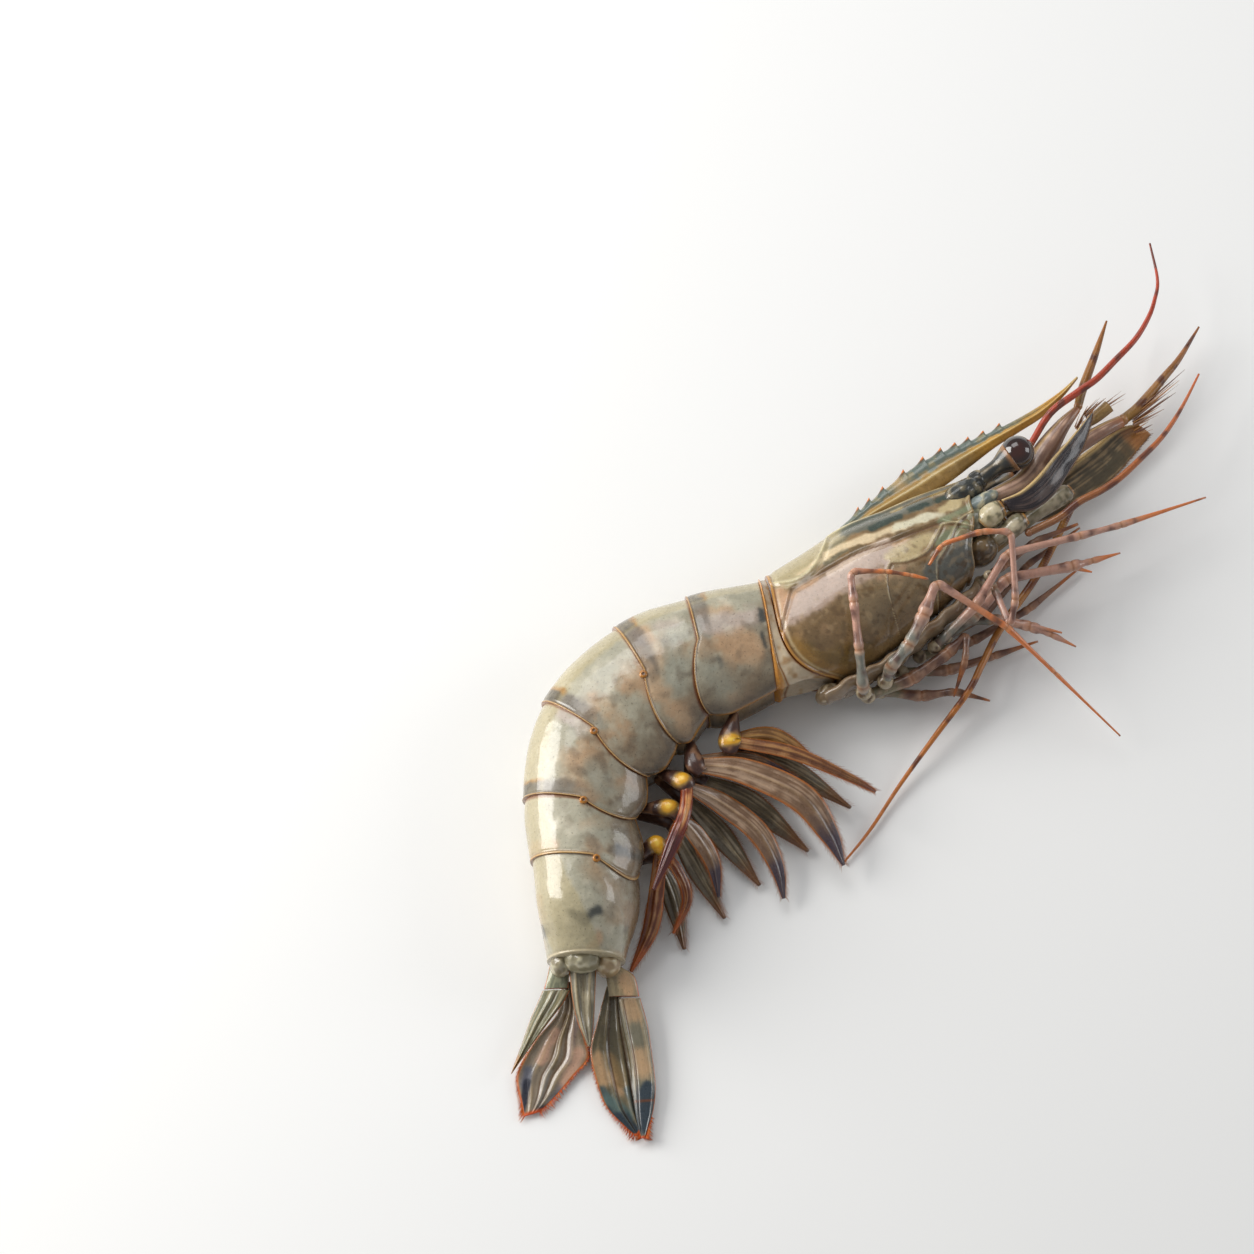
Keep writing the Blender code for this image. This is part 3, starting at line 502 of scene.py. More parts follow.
class Draft:
    """Mesh in the making, in millimetres, with a UV map and a painted colour."""

    def __init__(self) -> None:
        """Start an empty mesh with its layers."""
        self.bm = bmesh.new()
        self.uv = self.bm.loops.layers.uv.new(UV_MAP)
        self.layer = self.bm.verts.layers.float_color.new(PAINT_MAP)

    def tube(self, surface: SurfaceMap, rows: int, sides: int, paint: Painter,
             hubs: Sequence[Vector | None] = (None, None)) -> None:
        """Add a closed tube.

        Args:
            surface: point for a share along the tube and a share round it.
            rows: steps along the tube.
            sides: steps round it.
            paint: paint for a share along, a share round and a point.
            hubs: middles of the two ends, or None for flat ends.
        """
        before = self.bm.calc_volume(signed=True) if self.bm.faces else 0.0
        made = bmesh.ops.create_grid(self.bm, x_segments=rows, y_segments=sides, size=0.5)["verts"]
        for face in {face for vert in made for face in vert.link_faces}:
            for loop in face.loops:
                loop[self.uv].uv = (loop.vert.co.x + 0.5, loop.vert.co.y + 0.5)
        for vert in made:
            u, v = vert.co.x + 0.5, (vert.co.y + 0.5) % 1.0
            point = surface(u, v)
            point.z = max(point.z, FLOOR_CLEARANCE)
            vert.co = point
            vert[self.layer] = paint(u, v, point).linear
        bmesh.ops.remove_doubles(self.bm, verts=made, dist=WELD)
        made = [vert for vert in made if vert.is_valid]
        rim = {edge for vert in made for edge in vert.link_edges if edge.is_boundary}
        start = surface(0.0, 0.0)
        ends = bmesh.ops.holes_fill(self.bm, edges=list(rim), sides=0)["faces"]
        ends.sort(key=lambda face: min((vert.co - start).length for vert in face.verts))
        for share, face, hub in zip((0.0, 1.0), ends, hubs):
            corner = face.verts[0][self.layer].copy()
            middle = bmesh.ops.poke(self.bm, faces=[face])["verts"][0]
            if hub is not None:
                middle.co = hub
            middle[self.layer] = corner
            for loop in (loop for cap in middle.link_faces for loop in cap.loops):
                loop[self.uv].uv = (share, 0.5)
        faces = list({face for vert in made for face in vert.link_faces})
        bmesh.ops.recalc_face_normals(self.bm, faces=faces)
        if self.bm.calc_volume(signed=True) < before:
            bmesh.ops.reverse_faces(self.bm, faces=faces)

    def ball(self, segments: int, rings: int, radius: float, shape: Shaper) -> None:
        """Add a sphere and give it its shape and paint."""
        made = bmesh.ops.create_uvsphere(self.bm, u_segments=segments, v_segments=rings, radius=radius)
        for vert in made["verts"]:
            vert.co, paint = shape(vert.co.copy())
            vert[self.layer] = paint.linear

    def bristle(self, root: Vector, tip: Vector, width: float, colour: Colour) -> None:
        """Add one fine three-sided bristle."""
        run = tip - root
        turn = UP.rotation_difference(run.normalized()).to_matrix().to_4x4()
        place = Matrix.Translation((root + tip) / 2) @ turn
        made = bmesh.ops.create_cone(self.bm, cap_ends=True, cap_tris=True, segments=3, radius1=width,
                                     radius2=width * 0.1, depth=run.length, matrix=place)
        for vert in made["verts"]:
            vert[self.layer] = Paint(colour).linear

    def piece(self, name: str, finish: Finish, nodes: Sequence[str] = ()) -> None:
        """Finish the mesh as a piece of the prawn.

        Args:
            name: the piece's name.
            finish: its finish.
            nodes: the solids that it replaces.
        """
        bmesh.ops.scale(self.bm, vec=(MM, MM, MM), verts=self.bm.verts)
        mesh = bpy.data.meshes.new(name)
        self.bm.to_mesh(mesh)
        self.bm.free()
        mesh.shade_smooth()
        mesh.materials.append(finish.material())
        made = bpy.data.objects.new("prawn_" + name, mesh)
        bpy.context.scene.collection.objects.link(made)
        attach(made, BODY)
        if nodes:
            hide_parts(*nodes)
        LOG.info("%s: %d faces, finish %s", made.name, len(mesh.polygons), finish.name)


class Carry(Enum):
    """How a swept section is carried along its path."""

    LEVEL = "level"
    FREE = "free"


@dataclass
class Path:
    """Points of a limb with its half widths and half thicknesses."""

    points: list[Vector]
    wides: list[float]
    thicks: list[float]
    carry: Carry = Carry.LEVEL
    frames: list[tuple[Vector, Vector]] = field(default_factory=list)

    @classmethod
    def smooth(cls, rows: Sequence[Row], place: PlaceMap, steps: int,
               carry: Carry = Carry.LEVEL) -> Path:
        """Path through rows of position, half width and half thickness."""
        table = indexed([tuple(row) + (row[-1],) * (5 - len(row)) for row in rows])
        points, wides, thicks = [], [], []
        for i in range((len(rows) - 1) * steps + 1):
            x, y, z, wide, thick = along_table(table, i / steps)
            points.append(place(x, y, z))
            wides.append(max(wide, 0.15))
            thicks.append(max(thick, 0.15))
        return cls(points, wides, thicks, carry)

    def settle(self) -> None:
        """Work out the two directions across the path at each of its points."""
        last = len(self.points) - 1
        across = UP
        for i in range(last + 1):
            ahead = (self.points[min(i + 1, last)] - self.points[max(i - 1, 0)]).normalized()
            if self.carry is Carry.LEVEL or i == 0:
                across = ahead.cross(UP)
                if across.length < 0.05:
                    across = ahead.cross(Vector((1.0, 0.0, 0.0)))
            across = (across - ahead * across.dot(ahead)).normalized()
            self.frames.append((across, across.cross(ahead).normalized()))

    def surface(self, u: float, v: float) -> Vector:
        """Point at a share along the path and a share round it."""
        if not self.frames:
            self.settle()
        i = round(u * (len(self.points) - 1))
        across, over = self.frames[i]
        turn = 2.0 * math.pi * v
        wide, thick = self.wides[i] * math.cos(turn), self.thicks[i] * math.sin(turn)
        return self.points[i] + across * wide + over * thick

    @property
    def rows(self) -> int:
        """Steps along the path."""
        return len(self.points) - 1


@dataclass
class Abdomen:
    """Six rings of the abdomen, each tucked under the one before it."""

    stations: tuple[Row, ...] = (
        (0.0, -21.4, 12.0, 11.0, 98.4, 15.3, 10.6, 4.0), (1.0, -37.5, 6.3, 11.8, 101.5, 16.3, 11.6, 6.0),
        (2.0, -49.5, -1.0, 12.0, 118.1, 17.5, 11.8, 8.0),
        (3.0, -61.2, -13.9, 12.0, 143.5, 16.3, 11.6, 10.0),
        (4.0, -64.8, -30.0, 11.6, 170.3, 14.0, 11.2, 14.0),
        (5.0, -63.9, -43.5, 11.4, 176.0, 13.0, 10.8, 24.0),
        (5.5, -63.5, -54.5, 11.0, 180.0, 12.2, 10.6, 48.0), (6.0, -63.8, -65.0, 8.3, 180.0, 8.2, 8.9, 74.0)
    )
    rings: int = 6
    rows: int = 64
    sides: int = 216
    crowding: float = 1.35
    side_share: float = 0.42
    side_turn: float = math.radians(158.0)
    belly_rise: float = 0.26
    lobe_tuck: float = 0.06
    front_round: float = 0.07
    rear_round: float = 0.10
    lobe_swing: float = 0.2
    tuck: float = 0.955
    overlap: float = 1.3
    bands: tuple[float, ...] = (0.9, 1.0, 1.0, 0.9, 0.0, 0.0)
    band_width: float = 4.0
    rim_rise: float = 0.09
    rim_groove: float = 0.12
    bead_places: tuple[float, float] = (0.215, 0.785)
    bead_radius: float = 0.95
    bead_flat: float = 0.55
    bead_dimple: float = 0.45
    coats: tuple[Coat, ...] = (
        Coat.of(
            (0.58, 0.575, 0.515), 0.7, (-43.6, 7.5, -43.4, -2.5, 3.2), (-34.4, 1.3, -31.0, -3.0, 4.0, 0.9),
            (-57.3, 6.2, -60.0, 2.0, 3.4, 0.6), (-62.3, -23.6, -60.3, -26.0, 3.4, 0.9),
            (-58.6, -38.2, -56.0, -37.0, 3.2, 0.6), (-60.0, -50.0, -58.2, -55.0, 4.6, 0.5)),
        Coat.of(
            (0.75, 0.61, 0.47), 0.7, (-50.8, 10.4, -48.7, -4.0, 2.9), (-31.6, 8.2, -28.0, 6.0, 3.4, 0.9),
            (-40.4, -10.0, -40.0, -12.6, 3.0, 0.7), (-26.1, 10.4, -24.6, 5.0, 2.6, 0.7),
            (-36.1, 15.3, -31.0, 16.4, 2.4, 0.7), (-45.4, -5.4, -44.0, -8.4, 2.6, 0.6),
            (-59.8, -7.1, -55.7, -13.3, 3.4, 0.6), (-66.8, -20.8, -63.0, -20.0, 2.8, 0.5),
            (-55.3, -26.1, -51.3, -25.1, 3.0, 0.45), (-64.6, -36.6, -60.0, -36.0, 2.6, 0.4),
            (-62.2, -63.9, -60.9, -62.4, 1.6), (-76.6, -40.6, -72.0, -41.4, 2.0),
            (-29.6, -5.0, -25.0, -4.4, 3.0, 0.5), (-75.4, -52.5, -74.6, -62.5, 1.8, 0.9),
            (-57.5, 13.0, -54.0, 14.6, 1.4, 0.6)),
        # Lilac-grey patches near the back of rings 1 to 3: partly their own tone, partly a painted
        # reflection of the light over the upper flank.
        Coat.of(
            (0.72, 0.66, 0.62), 0.8, (-34.5, 12.0, -25.0, 14.5, 3.0), (-53.0, 11.4, -51.4, 8.0, 1.4, 0.6),
            (-46.4, 12.4, -43.4, 12.6, 2.2, 0.6), (-69.5, -8.5, -64.5, -13.5, 2.0, 0.7)),
        Coat.of(
            (0.23, 0.24, 0.23), 0.85, (-23.4, 16.6, -22.6, 13.6, 0.9, 0.9),
            (-22.3, 10.0, -22.0, 7.0, 0.7, 0.7), (-39.8, -15.8, -37.0, -16.2, 2.6, 0.5),
            (-49.2, -23.2, -46.2, -22.2, 2.4, 0.5), (-49.7, -32.2, -47.4, -31.2, 2.2, 0.65),
            (-56.3, -41.8, -50.3, -41.8, 1.9, 0.6), (-75.6, -58.4, -72.4, -59.2, 1.4, 0.75),
            (-66.6, -57.8, -64.2, -58.6, 1.4, 1.1), (-62.4, -57.0, -60.6, -56.6, 1.1),
            (-27.5, -11.0, -21.5, -7.0, 1.2, 1.4), (-33.6, 4.4, -32.4, 2.4, 1.3, 0.5),
            (-48.6, 3.4, -47.6, 0.6, 1.2, 0.5))
    )

    def section(self, place: float, v: float, tuck: float = 1.0, depth: float = 1.0) -> Vector:
        """Point of the outline at a place on the chain, v going once round it."""
        x, y, z, back_turn, high, wide, roll = along_table(self.stations, place)
        side, w = (1.0, v) if v <= 0.5 else (-1.0, 1.0 - v)
        turn = min(w / self.side_share, 1.0) * self.side_turn
        across = wide * math.sin(turn) ** (1.0 if turn < math.pi / 2 else 0.62)
        rise = high * math.cos(turn)
        if turn > math.pi / 2:
            rise *= depth / abs(math.cos(self.side_turn)) * (1.0 - 0.5 * (1.0 - depth))
        if w > self.side_share:
            inward = (w - self.side_share) / (0.5 - self.side_share)
            across *= (1.0 - inward) * 0.88
            rise *= 1.0 - self.belly_rise * math.sin(inward * math.pi / 2)
        across *= side * tuck
        rise *= tuck
        roll = math.radians(roll)
        flat = rise * math.cos(roll) - across * math.sin(roll)
        height = z + rise * math.sin(roll) + across * math.cos(roll)
        back = math.radians(back_turn)
        return plan_point(x + flat * math.cos(back), y + flat * math.sin(back), height)

    def centre(self, place: float) -> Vector:
        """Middle of the abdomen at a place on the chain."""
        return plan_point(*along_table(self.stations, place)[:3])

    def border(self, ring: int, v: float) -> float:
        """Place of the border behind a ring, v going once round it."""
        if ring in (0, self.rings):
            return float(ring)
        w = min(v, 1.0 - v) / self.side_share
        rise = math.sin(math.pi * min(max((w - 0.5) / 0.5, 0.0), 1.0)) ** 0.8
        return ring + self.lobe_swing * rise

    def spacing(self, place: float, v: float) -> float:
        """Millimetres of surface for one step of the chain at side v."""
        low, high = max(place - 0.25, 0.0), min(place + 0.25, float(self.rings))
        return (self.section(high, v) - self.section(low, v)).length / (high - low)

    def ring(self, ring: int) -> None:
        """Build one ring with its rim, hinge and paint."""
        spans: dict[float, tuple[float, float, float]] = {}

        def span(v: float) -> tuple[float, float, float]:
            """Front and rear places of the ring at side v, and the millimetres between them."""
            key = round(v, 5)
            if key not in spans:
                front = self.border(ring - 1, v)
                if ring > 1:
                    front -= self.overlap / self.spacing(ring - 1, v)
                rear = self.border(ring, v)
                middle = self.spacing((front + rear) / 2, v)
                spans[key] = (front, rear, middle * (rear - front))
            return spans[key]

        def measure(u: float, v: float) -> tuple[float, float]:
            """Millimetres from a place to the rear border and to the border in front of it."""
            length = span(v)[2]
            hidden = self.overlap if ring > 1 else 0.0
            return (1.0 - u) * length, u * length - hidden

        def surface(u: float, v: float) -> Vector:
            """Point of the ring, with its tucks, rim and waves."""
            u = 1.0 - (1.0 - u) ** self.crowding
            front, rear, _ = span(v)
            to_rear, to_front = measure(u, v)
            tuck = self.tuck + (1.0 - self.tuck) * math.sin(u * math.pi / 2)
            depth = 1.0 - (self.lobe_tuck if ring == self.rings else self.lobe_tuck * (1.0 - u) ** 2)
            depth -= self.front_round * (1.0 - u) ** 4 if ring > 1 else 0.0
            depth -= self.rear_round * max(u - 0.55, 0.0) ** 2 / 0.2 if ring < self.rings else 0.0
            place = front + (rear - front) * u
            point = self.section(place, v, tuck, depth)
            rise = self.rim_rise * hump(to_rear, 0.2, 0.22) - self.rim_groove * hump(to_rear, 0.7, 0.3)
            w = min(v, 1.0 - v) / self.side_share
            rise += 0.10 * hump(w, 0.52, 0.05) * step(to_rear, 0.0, 3.0)
            rise += (0.14 * ripple(point, 7.0) + 0.06 * ripple(point, 2.6, 4.0)) * step(to_front, 0.0, 2.0)
            if w > 1.0:
                rise -= 0.2
            outward = (point - self.centre(min(max(place, 0.0), 6.0))).normalized()
            return point + outward * rise

        def paint(u: float, v: float, point: Vector) -> Paint:
            """Paint of one point of the ring."""
            to_rear, to_front = measure(1.0 - (1.0 - u) ** self.crowding, v)
            w = min(v, 1.0 - v) / self.side_share
            return self.paint(ring, w, to_rear, to_front, point)

        draft = Draft()
        hubs = (self.centre(max(ring - 1.05, 0.02)), self.centre(ring - 0.2))
        if ring == self.rings:
            hubs = (hubs[0], self.centre(ring))
        draft.tube(surface, self.rows, self.sides, paint, hubs)
        draft.piece("ring_%d" % ring, RING_SHELL, ["abdomen_%d" % ring])

    def paint(self, ring: int, w: float, to_rear: float, to_front: float, point: Vector) -> Paint:
        """Paint of one place of the rings.

        Args:
            ring: which ring, from the front.
            w: share of the way from the back line down to the lobe's edge.
            to_rear: millimetres to the ring's rear border.
            to_front: millimetres to its visible front border.
            point: the place.

        Returns:
            The paint of that place.
        """
        rough = 0.6 * ripple(point, 2.6, 4.0) + 0.4 * ripple(point, 1.1, 8.0)
        x, y = plan_place(point)
        x += 1.0 * ripple(point, 5.0, 1.0) + 0.5 * rough
        y += 1.0 * ripple(point, 5.0, 9.0) - 0.5 * rough
        paint = Paint(PALE).lay(GREY_GREEN, 0.8 * step(ripple(point, 8.0, 3.0) + 0.5 * rough, -0.1, 0.5))
        warm = step(ripple(point, 7.0, 20.0) + 0.5 * rough, -0.1, 0.45)
        paint.lay((0.66, 0.53, 0.40), 0.8 * warm * step(w, 0.3, 0.5))
        paint.lay(TAUPE, 0.9 * step(w + 0.12 * rough, 0.50, 0.92))
        for coat in self.coats:
            coat.lay(paint, x, y, 0.3 * rough)
        # Pale patches towards the back line of each flank: painted highlights where the light glares on the
        # shell.
        light = step(ripple(point, 3.4, 41.0) + 0.4 * rough, 0.1, 0.6)
        paint.lay((0.84, 0.81, 0.73), 0.45 * light * step(w, 0.7, 0.4))
        dark = step(ripple(point, 3.0, 47.0) + 0.5 * rough, 0.15, 0.6)
        paint.lay((0.36, 0.31, 0.25), 0.35 * dark * step(w, 0.3, 0.5))
        paint.lay((0.33, 0.30, 0.27), 0.5 * step(w + 0.08 * rough, 0.84, 0.98))
        # At w about 0.24 the paint changes where the reflection of the left light ends: the duller beige
        # strip towards the back line is partly the shell's own tone, partly painted shade beside that
        # reflection.
        paint.lay(BEIGE, 0.7 * step(w + 0.02 * rough, 0.27, 0.22))
        edge = self.band_width + 1.1 * rough
        band = step(to_rear, edge + 1.1, edge - 0.9) * self.bands[ring - 1]
        # In that strip the rear band is darkest and edged in amber; below it the band is painted paler grey,
        # a painted reflection over the dark band.
        paint.lay((0.28, 0.25, 0.20), 0.85 * band * step(w, 0.27, 0.20) * (0.8 + 0.5 * rough))
        paint.lay((0.40, 0.37, 0.34), 0.7 * band * step(w, 0.22, 0.27) * step(w + 0.1 * rough, 0.62, 0.36))
        paint.lay(AMBER, 0.5 * hump(to_rear, edge, 0.6) * step(w, 0.27, 0.22) * self.bands[ring - 1])
        if w > 1.0:
            paint.lay((0.70, 0.60, 0.46), step(w, 1.0, 1.08))
        if ring == self.rings:
            paint.lay((0.72, 0.67, 0.55), 0.9 * step(to_rear + 0.5 * rough, 1.4, 0.3))
            return paint.lay(RUST, 0.7 * step(to_front, 0.5, 0.0))
        paint.lay((0.44, 0.28, 0.14), 0.6 * hump(to_rear, 0.46, 0.12))
        paint.lay((0.76, 0.60, 0.36), 0.85 * step(to_rear, 0.38, 0.26))
        paint.lay(RUST, 0.6 * step(to_rear, 0.08, 0.0))
        paint.lay(AMBER, 0.8 * hump(w, 0.985, 0.012))
        return paint.lay(RUST, 0.7 * step(to_front, 0.5, 0.0))

    def hinges(self) -> None:
        """Build the small amber beads that hinge the rings on both sides."""
        draft = Draft()
        for border in range(2, self.rings):
            for v in self.bead_places:
                place = self.border(border, v) + 0.012
                point = self.section(place, v)
                outward = (point - self.centre(place)).normalized()
                turn = Matrix.Translation(point) @ UP.rotation_difference(outward).to_matrix().to_4x4()

                def shape(co: Vector) -> tuple[Vector, Paint]:
                    """Flat bead with a dimple, painted dark as the shade in its hollow."""
                    dimple = self.bead_dimple * hump(math.hypot(co.x, co.y), 0.0, 0.4)
                    co.z = (co.z - (dimple if co.z > 0.0 else 0.0)) * self.bead_flat
                    # The umber laid into the dimple is painted shade.
                    return turn @ co, Paint(AMBER).lay(UMBER, dimple * 2.2)

                draft.ball(20, 12, self.bead_radius, shape)
        draft.piece("hinge_beads", CELL_SKIN)

    def build(self) -> None:
        """Build every ring and the hinges."""
        for ring in range(1, self.rings + 1):
            self.ring(ring)
        self.hinges()


@dataclass
class Carapace:
    """Shell of the head, with its ridges, grooves and painted zones."""

    stations: tuple[Row, ...] = (
        (-9.0, 15.0, -15.4, 10.2), (0.0, 15.3, -16.0, 10.7), (12.0, 15.4, -17.0, 11.0),
        (24.0, 15.4, -15.7, 10.8), (33.0, 13.4, -14.5, 10.2), (42.0, 11.9, -12.6, 9.2),
        (50.0, 9.9, -9.2, 7.9), (57.0, 8.4, -5.0, 6.2)
    )
    rows: int = 200
    sides: int = 280
    rear_top: float = 0.4
    rear_bulge: float = 7.8
    rear_hub: float = -4.0
    front_reach: float = 54.0
    front_wave: float = 1.0
    front_rake: float = 13.0
    front_hub: float = 50.0
    keel_line: tuple[Row, ...] = (
        (18.0, 15.0), (23.5, 14.4), (31.9, 12.8), (41.4, 11.4), (49.7, 9.6), (54.0, 8.9)
    )
    groove_line: tuple[Row, ...] = (
        (2.0, 6.6), (13.7, 5.9), (20.2, 5.2), (27.9, 3.3), (32.9, 2.4), (41.1, 0.7)
    )
    vein_line: tuple[Row, ...] = ((24.6, -1.0), (28.0, -2.8), (33.0, -3.4), (37.0, -1.6), (40.6, 0.6))
    plate_line: tuple[Row, ...] = ((34.0, -6.6), (38.0, -4.8), (43.0, -1.6), (46.0, -0.6), (52.0, -0.8))
    cheek_line: tuple[Row, ...] = ((18.0, -11.0), (26.0, -8.0), (34.0, -4.4), (42.0, -2.6), (52.0, -1.8))
    coats: tuple[Coat, ...] = (
        Coat.of(
            (0.50, 0.43, 0.32), 0.85, (12.0, -4.0, 26.0, -6.0, 3.6), (14.0, -10.0, 24.0, -10.0, 3.2, 0.8),
            (26.0, -5.0, 30.0, -9.0, 2.2, 0.7)),
        Coat.of(
            (0.46, 0.36, 0.18), 0.85, (-6.4, -5.0, -4.6, -10.0, 2.4), (-4.0, -11.0, 8.0, -14.4, 2.4, 0.9)),
        Coat.of(
            (0.68, 0.63, 0.49), 0.95, (-2.0, 13.4, 18.0, 13.2, 3.8), (16.0, 15.4, 25.0, 15.2, 2.2, 0.8),
            (2.0, 9.4, 14.0, 11.0, 2.2, 0.8)),
        # Lilac-grey band across the middle of the flank: partly its own paler tone, partly a painted
        # reflection of the left light.
        Coat.of(
            (0.70, 0.61, 0.55), 0.9, (-1.0, 3.4, 26.0, 1.2, 3.0, 1.1), (-2.0, 0.6, 10.0, 0.8, 1.9, 0.9),
            (12.0, 0.2, 22.0, -0.6, 1.7, 0.8)),
        Coat.of(
            (0.74, 0.59, 0.46), 0.9, (-4.0, 3.6, -1.4, 8.0, 2.2), (-5.4, -1.0, -4.6, 3.0, 1.5, 0.8),
            (-3.2, 5.4, 8.0, 5.8, 1.2, 0.6), (28.0, 1.8, 31.0, 1.6, 1.1, 0.7),
            (20.0, -3.0, 26.0, -4.0, 1.5, 0.6)),
        Coat.of((0.82, 0.74, 0.67), 0.85, (12.0, 5.0, 27.0, 4.0, 1.0)),
        Coat.of(
            (0.37, 0.38, 0.34), 0.9, (22.0, 12.6, 30.0, 11.2, 1.7, 1.1), (30.0, 10.4, 42.0, 7.8, 1.6, 1.1),
            (24.0, 10.6, 30.0, 9.6, 1.0, 0.9)),
        Coat.of(
            (0.40, 0.38, 0.30), 0.8, (12.6, 8.0, 18.0, 7.6, 0.8), (16.0, 10.6, 21.0, 11.2, 1.0, 0.6),
            (5.0, 7.0, 9.0, 7.6, 0.6, 0.5)),
        Coat.of(
            (0.20, 0.25, 0.22), 0.9, (27.0, 9.4, 33.4, 8.2, 1.0, 1.2), (37.0, 8.4, 41.0, 7.4, 0.9),
            (44.0, 6.6, 49.0, 5.6, 1.0, 0.9)),
        Coat.of(
            (0.66, 0.57, 0.38), 0.85, (34.0, 11.0, 36.0, 10.8, 0.9), (44.0, 8.6, 50.0, 7.4, 0.8, 0.9),
            (41.0, -3.4, 48.0, -1.4, 1.4, 0.5)),
        Coat.of(
            (0.84, 0.76, 0.62), 0.95, (6.0, 9.3, 14.0, 10.0, 0.8, 0.6), (14.0, 9.9, 24.0, 7.6, 1.15, 1.1),
            (24.0, 7.4, 33.0, 5.0, 1.1, 1.1)),
        Coat.of((0.84, 0.82, 0.72), 0.9, (31.0, 6.0, 38.0, 4.4, 1.3), (38.0, 4.0, 42.0, 2.4, 1.1, 0.8)),
        Coat.of(
            (0.76, 0.69, 0.52), 0.92, (26.4, 0.2, 36.0, -1.2, 1.8, 1.1),
            (27.0, -1.6, 31.0, -2.4, 1.2, 0.8), (42.4, 3.4, 46.0, 3.6, 1.3),
            (46.0, 3.4, 50.0, 3.4, 1.2, 0.6)),
        Coat.of((0.53, 0.56, 0.44), 0.9, (37.4, -3.0, 45.0, -2.6, 1.7), (40.0, 1.0, 50.0, 1.0, 1.1, 0.9)),
        Coat.of(
            (0.36, 0.37, 0.35), 0.92, (32.0, -8.0, 44.0, -7.2, 2.3, 1.2), (36.0, -10.6, 42.0, -9.6, 1.6),
            (31.0, -10.6, 33.6, -7.0, 1.3, 0.8)),
        # Pale grey dash along the top of the slate lobe: a painted highlight.
        Coat.of((0.62, 0.60, 0.55), 0.5, (36.0, -6.0, 42.0, -5.6, 0.9))
    )

    def rear(self, v: float) -> float:
        """Rear border along the head, v going once round it."""
        share = 2.0 * min(v, 1.0 - v)
        return self.rear_top - self.rear_bulge * math.sin(math.pi * share ** 1.46) ** 1.6

    def front(self, v: float) -> float:
        """Front border along the head, v going once round it."""
        wave = self.front_wave * math.sin(7.0 * math.pi * v) ** 2
        return self.front_reach - wave - self.front_rake * (0.5 - 0.5 * math.cos(2.0 * math.pi * v)) ** 1.6

    def section(self, along: float, v: float, share: float, rise: float = 0.0) -> Vector:
        """Point of the outline at a share of its radius, raised by some millimetres."""
        top, bottom, wide = along_table(self.stations, along)
        turn = 2.0 * math.pi * v
        back = (top + bottom) / 2 + ((top - bottom) / 2 * share + rise) * math.cos(turn)
        across = (wide * share + rise) * math.sin(turn) * (1.0 - 0.12 * math.cos(turn))
        return head_point(along, back, HEAD_Z + across)

    def off_line(self, line: tuple[Row, ...], along: float, back: float) -> float:
        """Distance above a line of the flank, large beyond its two ends."""
        beyond = max(line[0][0] - along, along - line[-1][0], 0.0)
        return back - along_table(line, along)[0] + beyond

    def relief(self, along: float, back: float, to_rear: float, to_front: float) -> float:
        """Height of ridges, grooves and rims at a place on the flank."""
        keel = self.off_line(self.keel_line, along, back)
        groove = self.off_line(self.groove_line, along, back)
        vein = self.off_line(self.vein_line, along, back)
        plate = self.off_line(self.plate_line, along, back)
        cheek = self.off_line(self.cheek_line, along, back)
        rise = 0.34 * hump(keel, 0.0, 0.45) - 0.42 * hump(keel, -1.2, 0.7)
        rise += 0.26 * hump(groove, 0.9, 0.7) - 0.42 * hump(groove, 0.0, 0.6)
        rise += 0.20 * hump(vein, 0.0, 0.35) - 0.2 * hump(vein, -0.8, 0.5)
        rise += 0.24 * hump(plate, 0.0, 0.35) - 0.34 * hump(plate, -0.9, 0.5)
        rise -= 0.22 * hump(cheek, 0.0, 0.7)
        rise += 0.2 * hump(to_rear, 0.35, 0.35) - 0.2 * hump(to_rear, 1.3, 0.6)
        return rise + 0.26 * hump(to_front, 0.5, 0.4) - 0.2 * hump(to_front, 1.5, 0.6)

    def build(self) -> None:
        """Build the shell of the head."""

        def surface(u: float, v: float) -> Vector:
            """Point of the shell with its relief."""
            rear, front = self.rear(v), self.front(v)
            along = rear + (front - rear) * u
            point = self.section(along, v, 1.0)
            back = head_place(point)[1]
            rise = self.relief(along, back, along - rear, front - along) * 0.8
            rise += 0.16 * ripple(point, 8.0) + 0.05 * ripple(point, 3.0, 2.0) - 0.22
            return self.section(along, v, 1.0, rise)

        def paint(u: float, v: float, point: Vector) -> Paint:
            """Paint of one point of the shell."""
            along, back = head_place(point)
            return self.paint(along, back, along - self.rear(v), self.front(v) - along, point)

        draft = Draft()
        hubs = (head_point(self.rear_hub + 2.0, 0.0, HEAD_Z), head_point(self.front_hub - 4.0, 0.0, HEAD_Z))
        draft.tube(surface, self.rows, self.sides, paint, hubs)
        draft.piece("carapace", HEAD_SHELL, ["carapace"])

